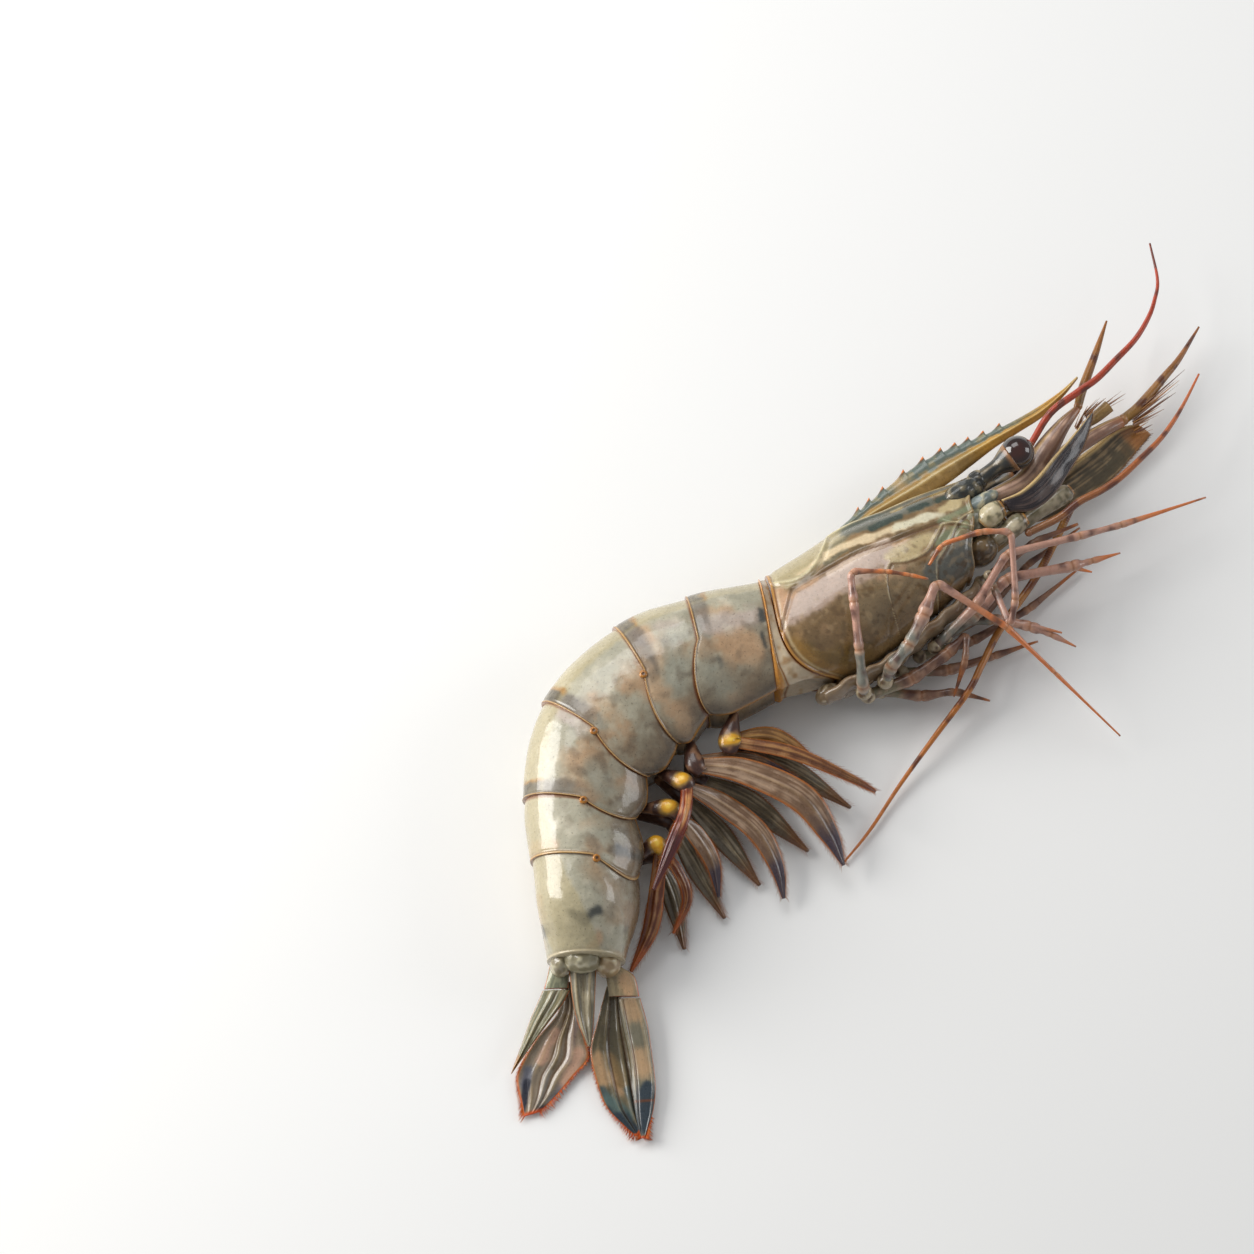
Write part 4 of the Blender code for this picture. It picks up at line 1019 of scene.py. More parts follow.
    def paint(self, along: float, back: float, to_rear: float, to_front: float, point: Vector) -> Paint:
        """Paint of one place of the shell.

        Args:
            along: place along the head.
            back: place towards the back.
            to_rear: millimetres to the rear border.
            to_front: millimetres to the front border.
            point: the place.

        Returns:
            The paint of that place.
        """
        rough = 0.6 * ripple(point, 2.4, 4.0) + 0.4 * ripple(point, 1.0, 8.0)
        x = along + 1.0 * ripple(point, 4.5, 3.0) + 0.8 * rough
        y = back + 0.5 * ripple(point, 3.5, 7.0) + 0.25 * rough
        paint = Paint(OLIVE).lay((0.50, 0.40, 0.26), step(ripple(point, 6.0, 2.0) + 0.5 * rough, -0.1, 0.5))
        paint.lay((0.36, 0.30, 0.20), 0.6 * step(ripple(point, 5.0, 12.0) + 0.5 * rough, 0.1, 0.5))
        paint.lay((0.57, 0.46, 0.33), 0.7 * step(ripple(point, 3.2, 17.0) + 0.6 * rough, -0.1, 0.5))
        for coat in self.coats:
            coat.lay(paint, x, y, 0.3 * rough)
        paint.lay((0.32, 0.24, 0.15), 0.4 * step(ripple(point, 1.5, 31.0), 0.2, 0.5) * step(back, 4.0, -2.0))
        paint.lay((0.68, 0.58, 0.44), 0.4 * step(ripple(point, 1.7, 37.0), 0.2, 0.5) * step(back, 4.0, -2.0))
        keel = self.off_line(self.keel_line, along, back)
        groove = self.off_line(self.groove_line, along, back)
        vein = self.off_line(self.vein_line, along, back)
        plate = self.off_line(self.plate_line, along, back)
        paint.lay((0.30, 0.33, 0.29), 0.7 * hump(keel, -0.9, 0.5) * step(along, 18.0, 24.0))
        paint.lay((0.82, 0.78, 0.62), 0.9 * hump(keel, 0.0, 0.24))
        paint.lay((0.42, 0.29, 0.19), 0.75 * hump(groove, 0.0, 0.25) * step(along, 3.0, 14.0))
        paint.lay((0.46, 0.34, 0.22), 0.6 * hump(vein, -0.5, 0.25) + 0.6 * hump(plate, -0.55, 0.3))
        paint.lay((0.84, 0.78, 0.62), 0.8 * hump(vein, 0.0, 0.2) + 0.8 * hump(plate, 0.0, 0.2))
        paint.lay((0.60, 0.44, 0.20), 0.7 * hump(to_rear, 2.6, 1.8) * step(back, 0.0, -8.0))
        # Whitish line just inside the rear rim, low on the flank: a painted highlight.
        paint.lay((0.84, 0.78, 0.66), 0.55 * hump(to_rear, 1.5, 0.35) * step(back, 12.0, 6.0))
        paint.lay((0.72, 0.52, 0.24), 0.9 * step(to_rear, 0.8, 0.5))
        paint.lay(RUST, 0.5 * hump(to_rear, 0.85, 0.12) + 0.6 * step(to_rear, 0.2, 0.05))
        paint.lay((0.66, 0.53, 0.34), 0.7 * step(to_front, 0.6, 0.3))
        return paint.lay((0.60, 0.50, 0.34), 0.7 * step(back, -14.0, -16.5))


@dataclass
class Rostrum:
    """Toothed beak of the carapace."""

    stations: tuple[Row, ...] = (
        (16.0, 14.9, 11.5, 1.5), (28.0, 16.5, 12.3, 1.6), (36.0, 17.6, 11.4, 1.6), (43.0, 18.4, 10.4, 1.6),
        (50.0, 18.4, 10.6, 1.5), (57.0, 17.2, 11.2, 1.4), (65.0, 15.8, 11.9, 1.2), (72.0, 15.0, 11.9, 1.1),
        (79.0, 14.7, 12.0, 0.9), (86.0, 15.0, 13.5, 0.6), (91.4, 15.9, 15.3, 0.35)
    )
    teeth: tuple[float, ...] = (28.3, 31.8, 36.2, 42.7, 48.4, 53.2, 56.9, 60.3, 64.2, 68.5)
    tooth_back: float = 3.4
    tooth_front: float = 0.35
    tooth_rise: float = 1.3
    lean: float = 0.7
    rows: int = 300
    sides: int = 40

    def tooth(self, along: float) -> float:
        """Share of a tooth's height at a place along the beak."""
        most = 0.0
        for tip in self.teeth:
            if tip - self.tooth_back <= along <= tip:
                most = max(most, ((along - tip + self.tooth_back) / self.tooth_back) ** 2.2)
            elif tip < along < tip + self.tooth_front:
                most = max(most, 1.0 - (along - tip) / self.tooth_front)
        return most

    def build(self) -> None:
        """Build the beak."""
        start, stop = self.stations[0][0], self.stations[-1][0]

        def surface(u: float, v: float) -> Vector:
            """Point of the rostrum."""
            along = start + (stop - start) * u
            top, bottom, wide = along_table(self.stations, along)
            turn = 2.0 * math.pi * v
            tooth = self.tooth(along) * max(math.cos(turn), 0.0) ** 4
            back = (top + bottom) / 2 + (top - bottom) / 2 * math.cos(turn) + self.tooth_rise * tooth
            thick = wide * (1.0 - 0.25 * hump(math.cos(turn), 0.25, 0.22))
            thick += 0.35 * hump(math.cos(turn), -0.25, 0.2)
            lean = self.lean * tooth
            return head_point(min(along + lean, stop), back, HEAD_Z + thick * math.sin(turn))

        def paint(u: float, v: float, point: Vector) -> Paint:
            """Paint of one point of the rostrum."""
            along = start + (stop - start) * u
            upper = math.cos(2.0 * math.pi * v)
            rough = 0.6 * ripple(point, 3.0, 4.0) + 0.4 * ripple(point, 1.2, 8.0)
            paint = Paint((0.62, 0.49, 0.27)).lay((0.73, 0.60, 0.38), step(rough, 0.0, 0.4))
            paint.lay((0.78, 0.58, 0.24), 0.8 * step(along, 56.0, 64.0))
            slate = step(upper + 0.5 * rough, 0.05, 0.42) * step(along, 84.0, 66.0)
            paint.lay((0.38, 0.43, 0.41), 0.95 * slate)
            paint.lay((0.60, 0.54, 0.38), 0.7 * step(rough, 0.1, 0.4) * step(upper, 0.2, 0.5))
            paint.lay((0.70, 0.58, 0.40), 0.8 * hump(along, 40.0, 2.4) * step(upper, 0.0, 0.4))
            paint.lay((0.44, 0.45, 0.38), 0.8 * step(along, 30.0, 20.0))
            paint.lay((0.80, 0.74, 0.54), 0.6 * hump(upper, -0.15 + 0.1 * rough, 0.07))
            paint.lay((0.82, 0.72, 0.50), 0.8 * step(along, 84.0, 90.0))
            tooth = self.tooth(along) * step(upper, 0.80, 0.97)
            paint.lay((0.28, 0.20, 0.13), 0.7 * step(tooth, 0.05, 0.35))
            return paint.lay((0.82, 0.45, 0.15), step(tooth, 0.4, 0.8) + 0.35 * step(upper, 0.93, 1.0))

        draft = Draft()
        draft.tube(surface, self.rows, self.sides, paint)
        draft.piece("rostrum", BEAK_SHELL, ["carapace"])


@dataclass
class SoftSkins:
    """Soft neck between the carapace and the first ring, and the strip between the legs."""

    abdomen: Abdomen
    carapace: Carapace
    clearance: float = 0.35
    strip: tuple[Row, ...] = ((-5.0, 2.0), (0.0, 4.4), (20.0, 4.8), (36.0, 3.6), (41.0, 1.6))
    strip_depth: float = 1.5

    def build(self) -> None:
        """Build both skins."""
        shell, hub = self.carapace, self.carapace.rear_hub

        def neck(u: float, v: float) -> Vector:
            """Point of the skin between the head shell and the abdomen."""
            rear = shell.rear(v) * 0.95 + hub * 0.05 - self.clearance
            front = shell.section(rear, v, 0.95)
            back = self.abdomen.section(0.0, v, 0.97, 0.92)
            point = front.lerp(back, u)
            outward = (point - self.abdomen.centre(0.0)).normalized()
            folds = 0.5 * math.sin(u * math.pi) * ripple(point, 4.0, 5.0)
            ridge = 0.5 * hump(u, 0.9 + 0.05 * ripple(point, 3.0), 0.07)
            return point + outward * (folds + ridge)

        def skin(point: Vector) -> Paint:
            """Folded skin at a point."""
            folds = ripple(point, 3.2, 1.0) + 0.5 * ripple(point, 1.4, 5.0)
            return Paint((0.78, 0.71, 0.60)).lay((0.62, 0.48, 0.32), 0.8 * step(folds, 0.0, 0.6))

        def neck_paint(u: float, v: float, point: Vector) -> Paint:
            """Folded skin with its amber border."""
            wave = 0.80 + 0.08 * ripple(point, 4.0, 8.0)
            paint = skin(point).lay((0.72, 0.49, 0.19), 0.95 * step(u, wave - 0.05, wave + 0.05))
            return paint.lay((0.48, 0.28, 0.10), 0.8 * hump(u, wave - 0.06, 0.03) + step(u, 0.08, 0.0))

        draft = Draft()
        hubs = (head_point(hub - self.clearance, 0.0, HEAD_Z), self.abdomen.centre(0.0))
        draft.tube(neck, 60, 200, neck_paint, hubs)
        draft.piece("neck", SOFT_SKIN, ["neck"])

        first, last = self.strip[0][0], self.strip[-1][0]

        def strip(u: float, v: float) -> Vector:
            """Point of the strip of skin along the breast."""
            along = first + (last - first) * u
            wide = along_table(self.strip, along)[0]
            bottom = along_table(shell.stations, along)[1]
            turn = 2.0 * math.pi * v
            back = bottom - self.clearance - self.strip_depth * (1.0 + math.sin(turn))
            back += 0.25 * math.sin(along * 1.1)
            return head_point(along, back, HEAD_Z + wide * math.cos(turn))

        draft = Draft()
        draft.tube(strip, 90, 40, lambda u, v, point: skin(point).lay((0.43, 0.34, 0.25), 0.6))
        draft.piece("sternum", SOFT_SKIN, ["sternum"])


@dataclass
class Eyes:
    """Round eyes in cups on their stalks."""

    radius: float = 4.05
    places: dict[str, Row] = field(default_factory=lambda: {
        "right": (66.1, 5.7, 18.4),
        "left": (66.1, 5.0, 4.3),
    })
    roots: dict[str, Row] = field(default_factory=lambda: {
        "right": (54.9, 6.0, 15.2),
        "left": (54.9, 5.6, 6.8),
    })
    profile: tuple[Row, ...] = ((0.0, 2.0), (0.35, 1.9), (0.6, 2.1), (0.82, 3.0), (1.0, 3.72))
    cup_depth: float = 1.7

    def build(self) -> None:
        """Build both eyes and stalks."""
        for side, place in self.places.items():
            centre = head_point(*place)
            root = head_point(*self.roots[side])
            ahead = (centre - root).normalized()
            sky = 1.0 if side == "right" else -1.0
            # Outward side of each eye, where the brown glow is painted; on the near eye it faces the camera.
            glow_facing = Vector((0.15, -0.25, sky)).normalized()

            def shape(co: Vector) -> tuple[Vector, Paint]:
                """Dark ball with a painted brown glow on its outward side, which on the near eye faces the
                camera.
                """
                # The brown glow is painted light laid into the eye's dark colour.
                painted_glow = max(co.normalized().dot(glow_facing), 0.0) ** 3
                brown = 0.8 * painted_glow + 0.2 * ripple(co, 1.2)
                return co + centre, Paint((0.09, 0.05, 0.045)).lay((0.27, 0.11, 0.07), brown)

            draft = Draft()
            draft.ball(64, 32, self.radius, shape)
            draft.piece("eye_" + side, EYE_GLASS, ["eye_" + side])

            rim = centre - ahead * self.cup_depth
            steps = 24
            points = [root.lerp(rim, i / steps) for i in range(steps + 1)]
            radii = [along_table(self.profile, i / steps)[0] for i in range(steps + 1)]
            path = Path(points, radii, radii, Carry.FREE)
            draft = Draft()
            streaks = Streaks((0.17, 0.18, 0.18), (0.50, 0.44, 0.34), edge=(0.58, 0.40, 0.25), count=2.0)
            draft.tube(path.surface, path.rows, 40,
                       lambda u, v, point: streaks.paint(u, v, point, step(u, 0.84, 0.95)),
                       (None, rim - ahead * 1.2))
            draft.piece("eyestalk_" + side, LIMB_SKIN, ["eyestalk_" + side])


@dataclass(frozen=True)
class Lump:
    """One soft lump of skin: its place on the head, its half sizes and its two colours, the darker of which
    lies in the hollows of its folds, partly as painted shade.
    """

    place: Row
    sizes: Row
    first: Colour
    second: Colour


@dataclass
class FaceSkin:
    """Soft skin that closes the front of the shell behind the eyes and the antennae."""

    lumps: tuple[Lump, ...] = (
        Lump((50.2, 5.4, 13.8), (6.4, 3.2, 5.4), (0.22, 0.23, 0.22), (0.50, 0.46, 0.37)),
        Lump((55.0, 6.1, 15.2), (2.8, 2.5, 2.5), (0.20, 0.20, 0.19), (0.62, 0.55, 0.42)),
        Lump((55.0, 5.7, 6.8), (2.8, 2.5, 2.5), (0.20, 0.20, 0.19), (0.62, 0.55, 0.42)),
        Lump((51.6, 0.8, 16.0), (5.6, 2.0, 3.0), (0.46, 0.50, 0.49), (0.72, 0.70, 0.60)),
        Lump((47.6, -1.0, 12.6), (5.4, 4.2, 6.4), (0.42, 0.42, 0.34), (0.66, 0.64, 0.52)),
        Lump((46.4, -8.0, 11.6), (4.4, 3.4, 5.4), (0.32, 0.26, 0.18), (0.50, 0.42, 0.30)),
        Lump((-3.4, -16.4, 9.4), (3.2, 2.2, 3.6), (0.56, 0.48, 0.37), (0.80, 0.73, 0.61)),
        Lump((1.4, -17.6, 9.2), (3.2, 2.2, 3.2), (0.50, 0.43, 0.34), (0.76, 0.68, 0.57)),
        Lump((6.2, -17.8, 9.6), (2.8, 2.3, 3.2), (0.48, 0.42, 0.35), (0.72, 0.63, 0.54))
    )
    name: str = "face_skin"
    fold: float = 0.35

    def place(self, along: float, back: float, height: float) -> Vector:
        """Point of the head's frame."""
        return head_point(along, back, height)

    def build(self) -> None:
        """Build every lump."""
        draft = Draft()
        for lump in self.lumps:

            def shape(co: Vector) -> tuple[Vector, Paint]:
                """Folded lump, darker in the hollows of its folds and lighter on their raised crests: partly
                its own two tones, partly painted shade and painted light.
                """
                along, back, high = (co[i] * lump.sizes[i] for i in range(3))
                point = self.place(lump.place[0] + along, lump.place[1] + back, lump.place[2] + high)
                folds = ripple(point, 1.6, 3.0)
                # The raised folds take the lighter colour and the hollows keep the darker one: painted light
                # and painted shade on the folds.
                coat = Paint(lump.first).lay(lump.second, step(folds, -0.1, 0.4))
                return point + UP * self.fold * folds, coat

            draft.ball(56, 36, 1.0, shape)
        draft.piece(self.name, SOFT_SKIN)


@dataclass
class TailSkin(FaceSkin):
    """Soft folds where the telson and the fan leave the last ring."""

    lumps: tuple[Lump, ...] = (
        Lump((0.4, -0.8, 10.2), (2.9, 4.4, 4.8), (0.58, 0.55, 0.45), (0.78, 0.75, 0.64)),
        Lump((0.7, 5.0, 8.0), (2.9, 3.1, 4.4), (0.64, 0.55, 0.42), (0.80, 0.74, 0.61)),
        Lump((0.7, -5.8, 8.0), (2.9, 2.5, 4.4), (0.54, 0.50, 0.40), (0.76, 0.73, 0.62))
    )
    name: str = "tail_skin"

    def place(self, along: float, back: float, height: float) -> Vector:
        """Point of the tail's frame."""
        return tail_point(along, back, height)


@dataclass
class Tufts:
    """Stiff hairs past the tips of the far scale and the antennules."""

    height: float = 7.2
    hairs: int = 7
    width: float = 0.5
    strands: tuple[Row, ...] = (
        (96.9, 1.3, 115.3, 4.0), (97.4, 0.8, 112.5, 2.5), (97.0, 0.0, 109.9, 0.4),
        (96.6, -0.8, 105.1, -1.5), (95.6, -2.6, 100.4, -3.2), (96.6, 1.6, 108.6, 4.4),
        (91.7, 6.9, 99.7, 6.9), (88.3, 7.7, 95.2, 8.6), (87.0, 6.0, 93.0, 8.9), (84.6, 6.2, 90.4, 9.4)
    )
    colours: tuple[Colour, ...] = ((0.64, 0.50, 0.41), (0.44, 0.29, 0.21), (0.74, 0.52, 0.30))

    def build(self) -> None:
        """Build every strand as one thorn with finer hairs beside it."""
        draft = Draft()
        dice = random.Random(11)
        for x0, y0, x1, y1 in self.strands:
            for hair in range(self.hairs):
                spread = 0.0 if hair == 0 else 1.0
                reach = 1.0 - spread * dice.uniform(0.05, 0.5)
                side, rise = dice.uniform(-1.0, 1.0) * spread, dice.uniform(-1.0, 1.2) * spread
                root = head_point(x0, y0 + 0.5 * side, self.height + 0.5 * rise)
                tip = head_point(x0 + (x1 - x0) * reach, y0 + (y1 - y0) * reach + side, self.height + rise)
                draft.bristle(root, tip, self.width * (1.0 - 0.6 * spread), dice.choice(self.colours))
        draft.piece("tufts", BRISTLE_SKIN)


@dataclass
class Feelers:
    """Antennules, antennae with their bases, their whips, and antennal scales."""

    antennules: dict[str, tuple[Row, ...]] = field(default_factory=lambda: {
        "antennule_right": (
            (54.8, 1.2, 13.8, 1.9, 1.9), (65.0, 0.6, 13.2, 2.4, 2.1), (73.0, 3.8, 13.0, 2.8, 2.1),
            (80.0, 6.6, 13.4, 1.9, 1.6), (86.0, 8.4, 13.2, 0.9, 0.9)
        ),
        "antennule_left": (
            (54.8, 1.0, 8.0, 1.9, 1.9), (66.0, -0.6, 8.4, 2.2, 2.0), (77.0, 1.6, 9.0, 2.2, 1.6),
            (88.0, 1.8, 8.6, 1.8, 1.5), (94.6, 1.6, 7.4, 1.5, 1.3)
        ),
    })
    whips: dict[str, tuple[Row, ...]] = field(default_factory=lambda: {
        "flagellum_long_right": (
            (71.4, 7.0, 14.4, 0.8), (79.3, 10.3, 16.0, 0.9), (87.4, 11.0, 16.0, 0.9),
            (93.6, 11.4, 15.6, 0.85), (100.3, 13.0, 15.0, 0.8), (107.6, 14.9, 14.5, 0.7),
            (113.6, 17.8, 14.0, 0.6), (117.9, 21.0, 13.0, 0.5), (121.9, 25.2, 12.4, 0.4),
            (126.2, 34.1, 11.6, 0.25)
        ),
        "flagellum_short_right": (
            (86.6, 8.9, 13.0, 1.0), (90.3, 12.1, 12.6, 1.15), (97.9, 17.6, 12.0, 0.9),
            (105.8, 23.6, 11.0, 0.25)
        ),
        "flagellum_long_left": (
            (95.4, 1.7, 7.2, 1.3), (100.6, 2.4, 7.0, 1.3), (110.2, 5.4, 6.4, 1.0), (116.2, 7.4, 6.0, 0.75),
            (125.2, 11.6, 5.4, 0.25)
        ),
        "flagellum_stub_left": ((86.5, 5.1, 9.2, 1.0), (89.5, 5.2, 9.6, 1.4), (93.6, 5.6, 10.2, 1.6)),
        "antenna_right": (
            (57.6, -11.3, 15.0, 0.95), (65.4, -12.3, 15.4, 0.95), (71.8, -11.8, 15.6, 0.95),
            (77.8, -12.3, 15.4, 0.9), (83.3, -12.1, 15.0, 0.85), (91.1, -10.6, 14.4, 0.75),
            (97.7, -9.0, 13.6, 0.65), (103.4, -6.8, 13.0, 0.55), (109.0, -4.0, 12.4, 0.4),
            (115.7, -0.2, 12.0, 0.25)
        ),
        "antenna_left": (
            (72.0, -9.6, 7.6, 0.95), (56.8, -18.1, 5.6, 0.95), (40.9, -24.6, 5.2, 0.9),
            (31.4, -30.0, 6.6, 0.85), (24.7, -33.8, 7.2, 0.8), (12.3, -37.9, 4.4, 0.65),
            (-0.5, -42.4, 2.0, 0.5), (-12.5, -47.4, 1.2, 0.4), (-22.3, -50.5, 0.9, 0.25)
        ),
    })
    whip_colours: dict[str, tuple[Colour, Colour]] = field(default_factory=lambda: {
        "flagellum_long_right": ((0.64, 0.22, 0.10), (0.70, 0.24, 0.10)),
        "flagellum_short_right": ((0.58, 0.42, 0.18), (0.66, 0.40, 0.14)),
        "flagellum_long_left": ((0.66, 0.50, 0.26), (0.62, 0.36, 0.14)),
        "flagellum_stub_left": ((0.56, 0.44, 0.24), (0.78, 0.62, 0.38)),
        "antenna_right": ((0.52, 0.34, 0.18), (0.78, 0.38, 0.12)),
        "antenna_left": ((0.62, 0.42, 0.16), (0.76, 0.42, 0.14)),
    })
    bases: dict[str, tuple[Row, ...]] = field(default_factory=lambda: {
        "antenna_base_right": (
            (49.6, -3.7, 16.2, 2.1, 2.1), (51.2, -3.4, 17.0, 2.7, 2.6), (53.5, -3.2, 17.2, 2.6, 2.5),
            (55.4, -3.4, 17.2, 2.0, 2.0)
        ),
        "antenna_base_left": (
            (49.8, -3.7, 5.6, 2.0, 1.9), (51.5, -3.4, 5.0, 2.5, 2.2), (55.5, -3.2, 5.0, 2.3, 2.1),
            (57.6, -3.2, 5.2, 1.8, 1.8)
        ),
        "antenna_knob_right": (
            (49.4, -7.8, 12.6, 1.7, 1.7), (53.0, -8.0, 14.4, 2.0, 2.0), (56.6, -8.2, 15.8, 2.4, 2.4),
            (58.9, -8.4, 16.2, 1.4, 1.4)
        ),
        "antenna_knob_left": (
            (47.4, -8.2, 8.6, 1.7, 1.7), (62.0, -6.8, 8.8, 1.7, 1.7), (71.6, -6.4, 8.8, 2.2, 2.0),
            (74.0, -6.3, 8.8, 1.4, 1.3)
        ),
    })
    scales: dict[str, tuple[tuple[Row, Row], ...]] = field(default_factory=lambda: {
        "antennal_scale_right": (
            ((56.2, -1.7, 17.8), (56.4, -5.2, 17.0)), ((60.8, -2.6, 18.4), (61.4, -7.6, 16.2)),
            ((66.2, -1.8, 18.2), (68.0, -7.0, 15.4)), ((72.4, 0.2, 17.8), (75.0, -3.9, 15.4)),
            ((78.1, 1.8, 17.4), (80.2, -1.3, 15.4)), ((83.6, 3.6, 16.8), (84.2, 1.6, 15.8)),
            ((87.4, 4.8, 16.2), (87.4, 4.4, 16.0))
        ),
        "antennal_scale_left": (
            ((58.2, -1.6, 5.4), (58.4, -5.4, 4.6)), ((66.0, -0.6, 4.8), (66.6, -8.0, 3.8)),
            ((76.0, 0.2, 4.8), (76.4, -8.8, 3.8)), ((86.0, 0.8, 5.0), (85.6, -8.2, 4.0)),
            ((93.0, 1.4, 5.2), (93.6, -6.0, 4.2)), ((98.0, -0.4, 5.2), (99.4, -4.2, 4.6))
        ),
    })
    scale_thick: float = 0.8
    cuff: float = 1.08
    bristles: int = 110
    bristles_from: float = 0.45
    bristle_width: float = 0.09
    bristle_colour: Colour = (0.50, 0.36, 0.24)

    def build(self) -> None:
        """Build every feeler."""
        streaks = Streaks((0.54, 0.41, 0.34), (0.82, 0.69, 0.60), tip=(0.66, 0.42, 0.27), tip_from=0.8,
                          count=5.0)
        for name, rows in self.antennules.items():
            path = Path.smooth(rows, head_point, 16)
            draft = Draft()
            # Thin cream line along the upper side of each antennule: a painted highlight.
            draft.tube(path.surface, path.rows, 40,
                       lambda u, v, point: streaks.paint(u, v, point, 0.0, 0.8 * hump(v, 0.36, 0.03)))
            draft.piece(name, LIMB_SKIN, [name])
        for name, rows in self.whips.items():
            path = Path.smooth(rows, head_point, 14)
            root, tip = self.whip_colours[name]

            def paint(u: float, v: float, point: Vector) -> Paint:
                """Paint of one point of a whip."""
                flecks = 0.7 * step(ripple(point, 3.5, 2.0), 0.15, 0.35)
                return Paint(root).lay(tip, u).lay((0.30, 0.12, 0.06), flecks)

            draft = Draft()
            draft.tube(path.surface, path.rows, 12, paint)
            cuff = Paint(root).lay((0.62, 0.42, 0.32), 0.5)
            draft.ball(16, 10, rows[0][3] * self.cuff, lambda co: (co + path.points[0], cuff))
            draft.piece(name, WHIP_SKIN, [name])
        for name, rows in self.bases.items():
            self.base(name, rows)
        for name, pairs in self.scales.items():
            self.scale(name, pairs)

    def base(self, name: str, rows: Sequence[Row]) -> None:
        """Build one barrel or knob at the foot of an antenna."""
        path = Path.smooth(rows, head_point, 14)
        ground = (0.73, 0.68, 0.55) if "base" in name else (0.60, 0.56, 0.47)

        def paint(u: float, v: float, point: Vector) -> Paint:
            """Paint of one point of a feeler's base, with painted shade in its folds and a painted
            highlight.
            """
            folds = 0.6 * ripple(point, 2.4, 1.0) + 0.6 * ripple(point, 1.0, 6.0)
            # Dark marks where the folds value is high: painted shade of creases that the smooth shape does
            # not have.
            coat = Paint(ground).lay((0.42, 0.40, 0.30), 0.85 * step(folds, 0.0, 0.4))
            # Pale patch round the middle of its length, away from the dark marks: a painted highlight.
            coat.lay((0.86, 0.82, 0.71), 0.6 * hump(u, 0.55, 0.2) * step(folds, 0.2, -0.3))
            coat.lay((0.66, 0.44, 0.18), 0.9 * step(u, 0.88, 0.97) + 0.5 * hump(u, 0.06, 0.06))
            return coat.lay((0.25, 0.15, 0.08), 0.7 * hump(u, 0.86, 0.03))

        draft = Draft()
        draft.tube(path.surface, path.rows, 40, paint)
        draft.piece(name, SOFT_SKIN, [name])

    def scale(self, name: str, pairs: Sequence[tuple[Row, Row]]) -> None:
        """Build one antennal scale with its ridge and fringe."""
        blade = Blade(pairs, head_point, self.scale_thick, ribs=((0.10, 0.55, 0.06),))
        streaks = Streaks((0.13, 0.10, 0.12), (0.32, 0.26, 0.24), edge=(0.58, 0.50, 0.42), count=9.0)
        if name.endswith("left"):
            streaks = Streaks((0.34, 0.30, 0.22), (0.62, 0.53, 0.39), edge=(0.58, 0.38, 0.18),
                              tip=(0.64, 0.42, 0.22), tip_from=0.72, count=8.0)

        def paint(u: float, v: float, point: Vector) -> Paint:
            """Paint of one point of a scale."""
            across = blade.across(v)
            return streaks.paint(u, v, point, 0.8 * step(across, 0.95, 1.0), step(across, 0.22, 0.13))

        draft = Draft()
        draft.tube(blade.surface, 100, 80, paint)
        draft.piece(name, SCALE_SKIN, [name])
        fringe = Draft()
        dice = random.Random(7)
        for i in range(self.bristles):
            u = self.bristles_from + (1.0 - self.bristles_from) * i / self.bristles
            root = blade.edge(min(u, 0.99), 1.0)
            ahead = (blade.edge(min(u + 0.01, 1.0), 1.0) - blade.edge(u - 0.01, 1.0)).normalized()
            out = (blade.edge(u, 1.0) - blade.edge(u, 0.0)).normalized()
            length = dice.uniform(0.7, 1.5)
            tip = root + (out * 0.5 + ahead).normalized() * length
            fringe.bristle(root - out * 0.2, tip, self.bristle_width, self.bristle_colour)
        fringe.piece(name + "_fringe", BRISTLE_SKIN)


@dataclass
class Blade:
    """Thin leaf between two edges, with raised ribs."""

    pairs: Sequence[tuple[Row, Row]]
    place: PlaceMap
    thick: float
    ribs: Sequence[Row] = ()
    grooves: Sequence[Row] = ()
    reach: float = 1.0
    table: list[Row] = field(default_factory=list)

    def __post_init__(self) -> None:
        """Set the edges out as a table."""
        self.table = indexed([tuple(left) + tuple(right) for left, right in self.pairs])

    def edges(self, u: float) -> tuple[Vector, Vector]:
        """Both edges at a share along the blade."""
        values = along_table(self.table, min(u, 1.0) * self.reach * (len(self.pairs) - 1))
        return self.place(*values[:3]), self.place(*values[3:])

    def edge(self, u: float, across: float) -> Vector:
        """Point between the edges."""
        left, right = self.edges(u)
        return left.lerp(right, across)

    def across(self, v: float) -> float:
        """Share from the first edge to the second at a share round the blade."""
        return 0.5 + 0.5 * math.cos(2.0 * math.pi * v)

    def surface(self, u: float, v: float) -> Vector:
        """Point of the blade's skin."""
        left, right = self.edges(u)
        turn = 2.0 * math.pi * v
        across = self.across(v)
        taper = self.thick * (1.0 - 0.55 * u)
        height = taper * math.sin(turn)
        side = 1.0 if v < 0.5 else -0.6
        fade = math.sin(math.pi * min(u * 1.02, 1.0)) ** 0.3 * abs(math.sin(turn)) ** 0.5
        for middle, rise, width in self.ribs:
            height += side * rise * hump(across, middle, width) * fade
        for middle, depth, width in self.grooves:
            height -= side * depth * hump(across, middle, width) * fade
        point = (left + right) / 2 + (right - left) / 2 * math.cos(turn)
        height += 0.12 * side * ripple(point, 4.0) * fade
        return point + UP * height


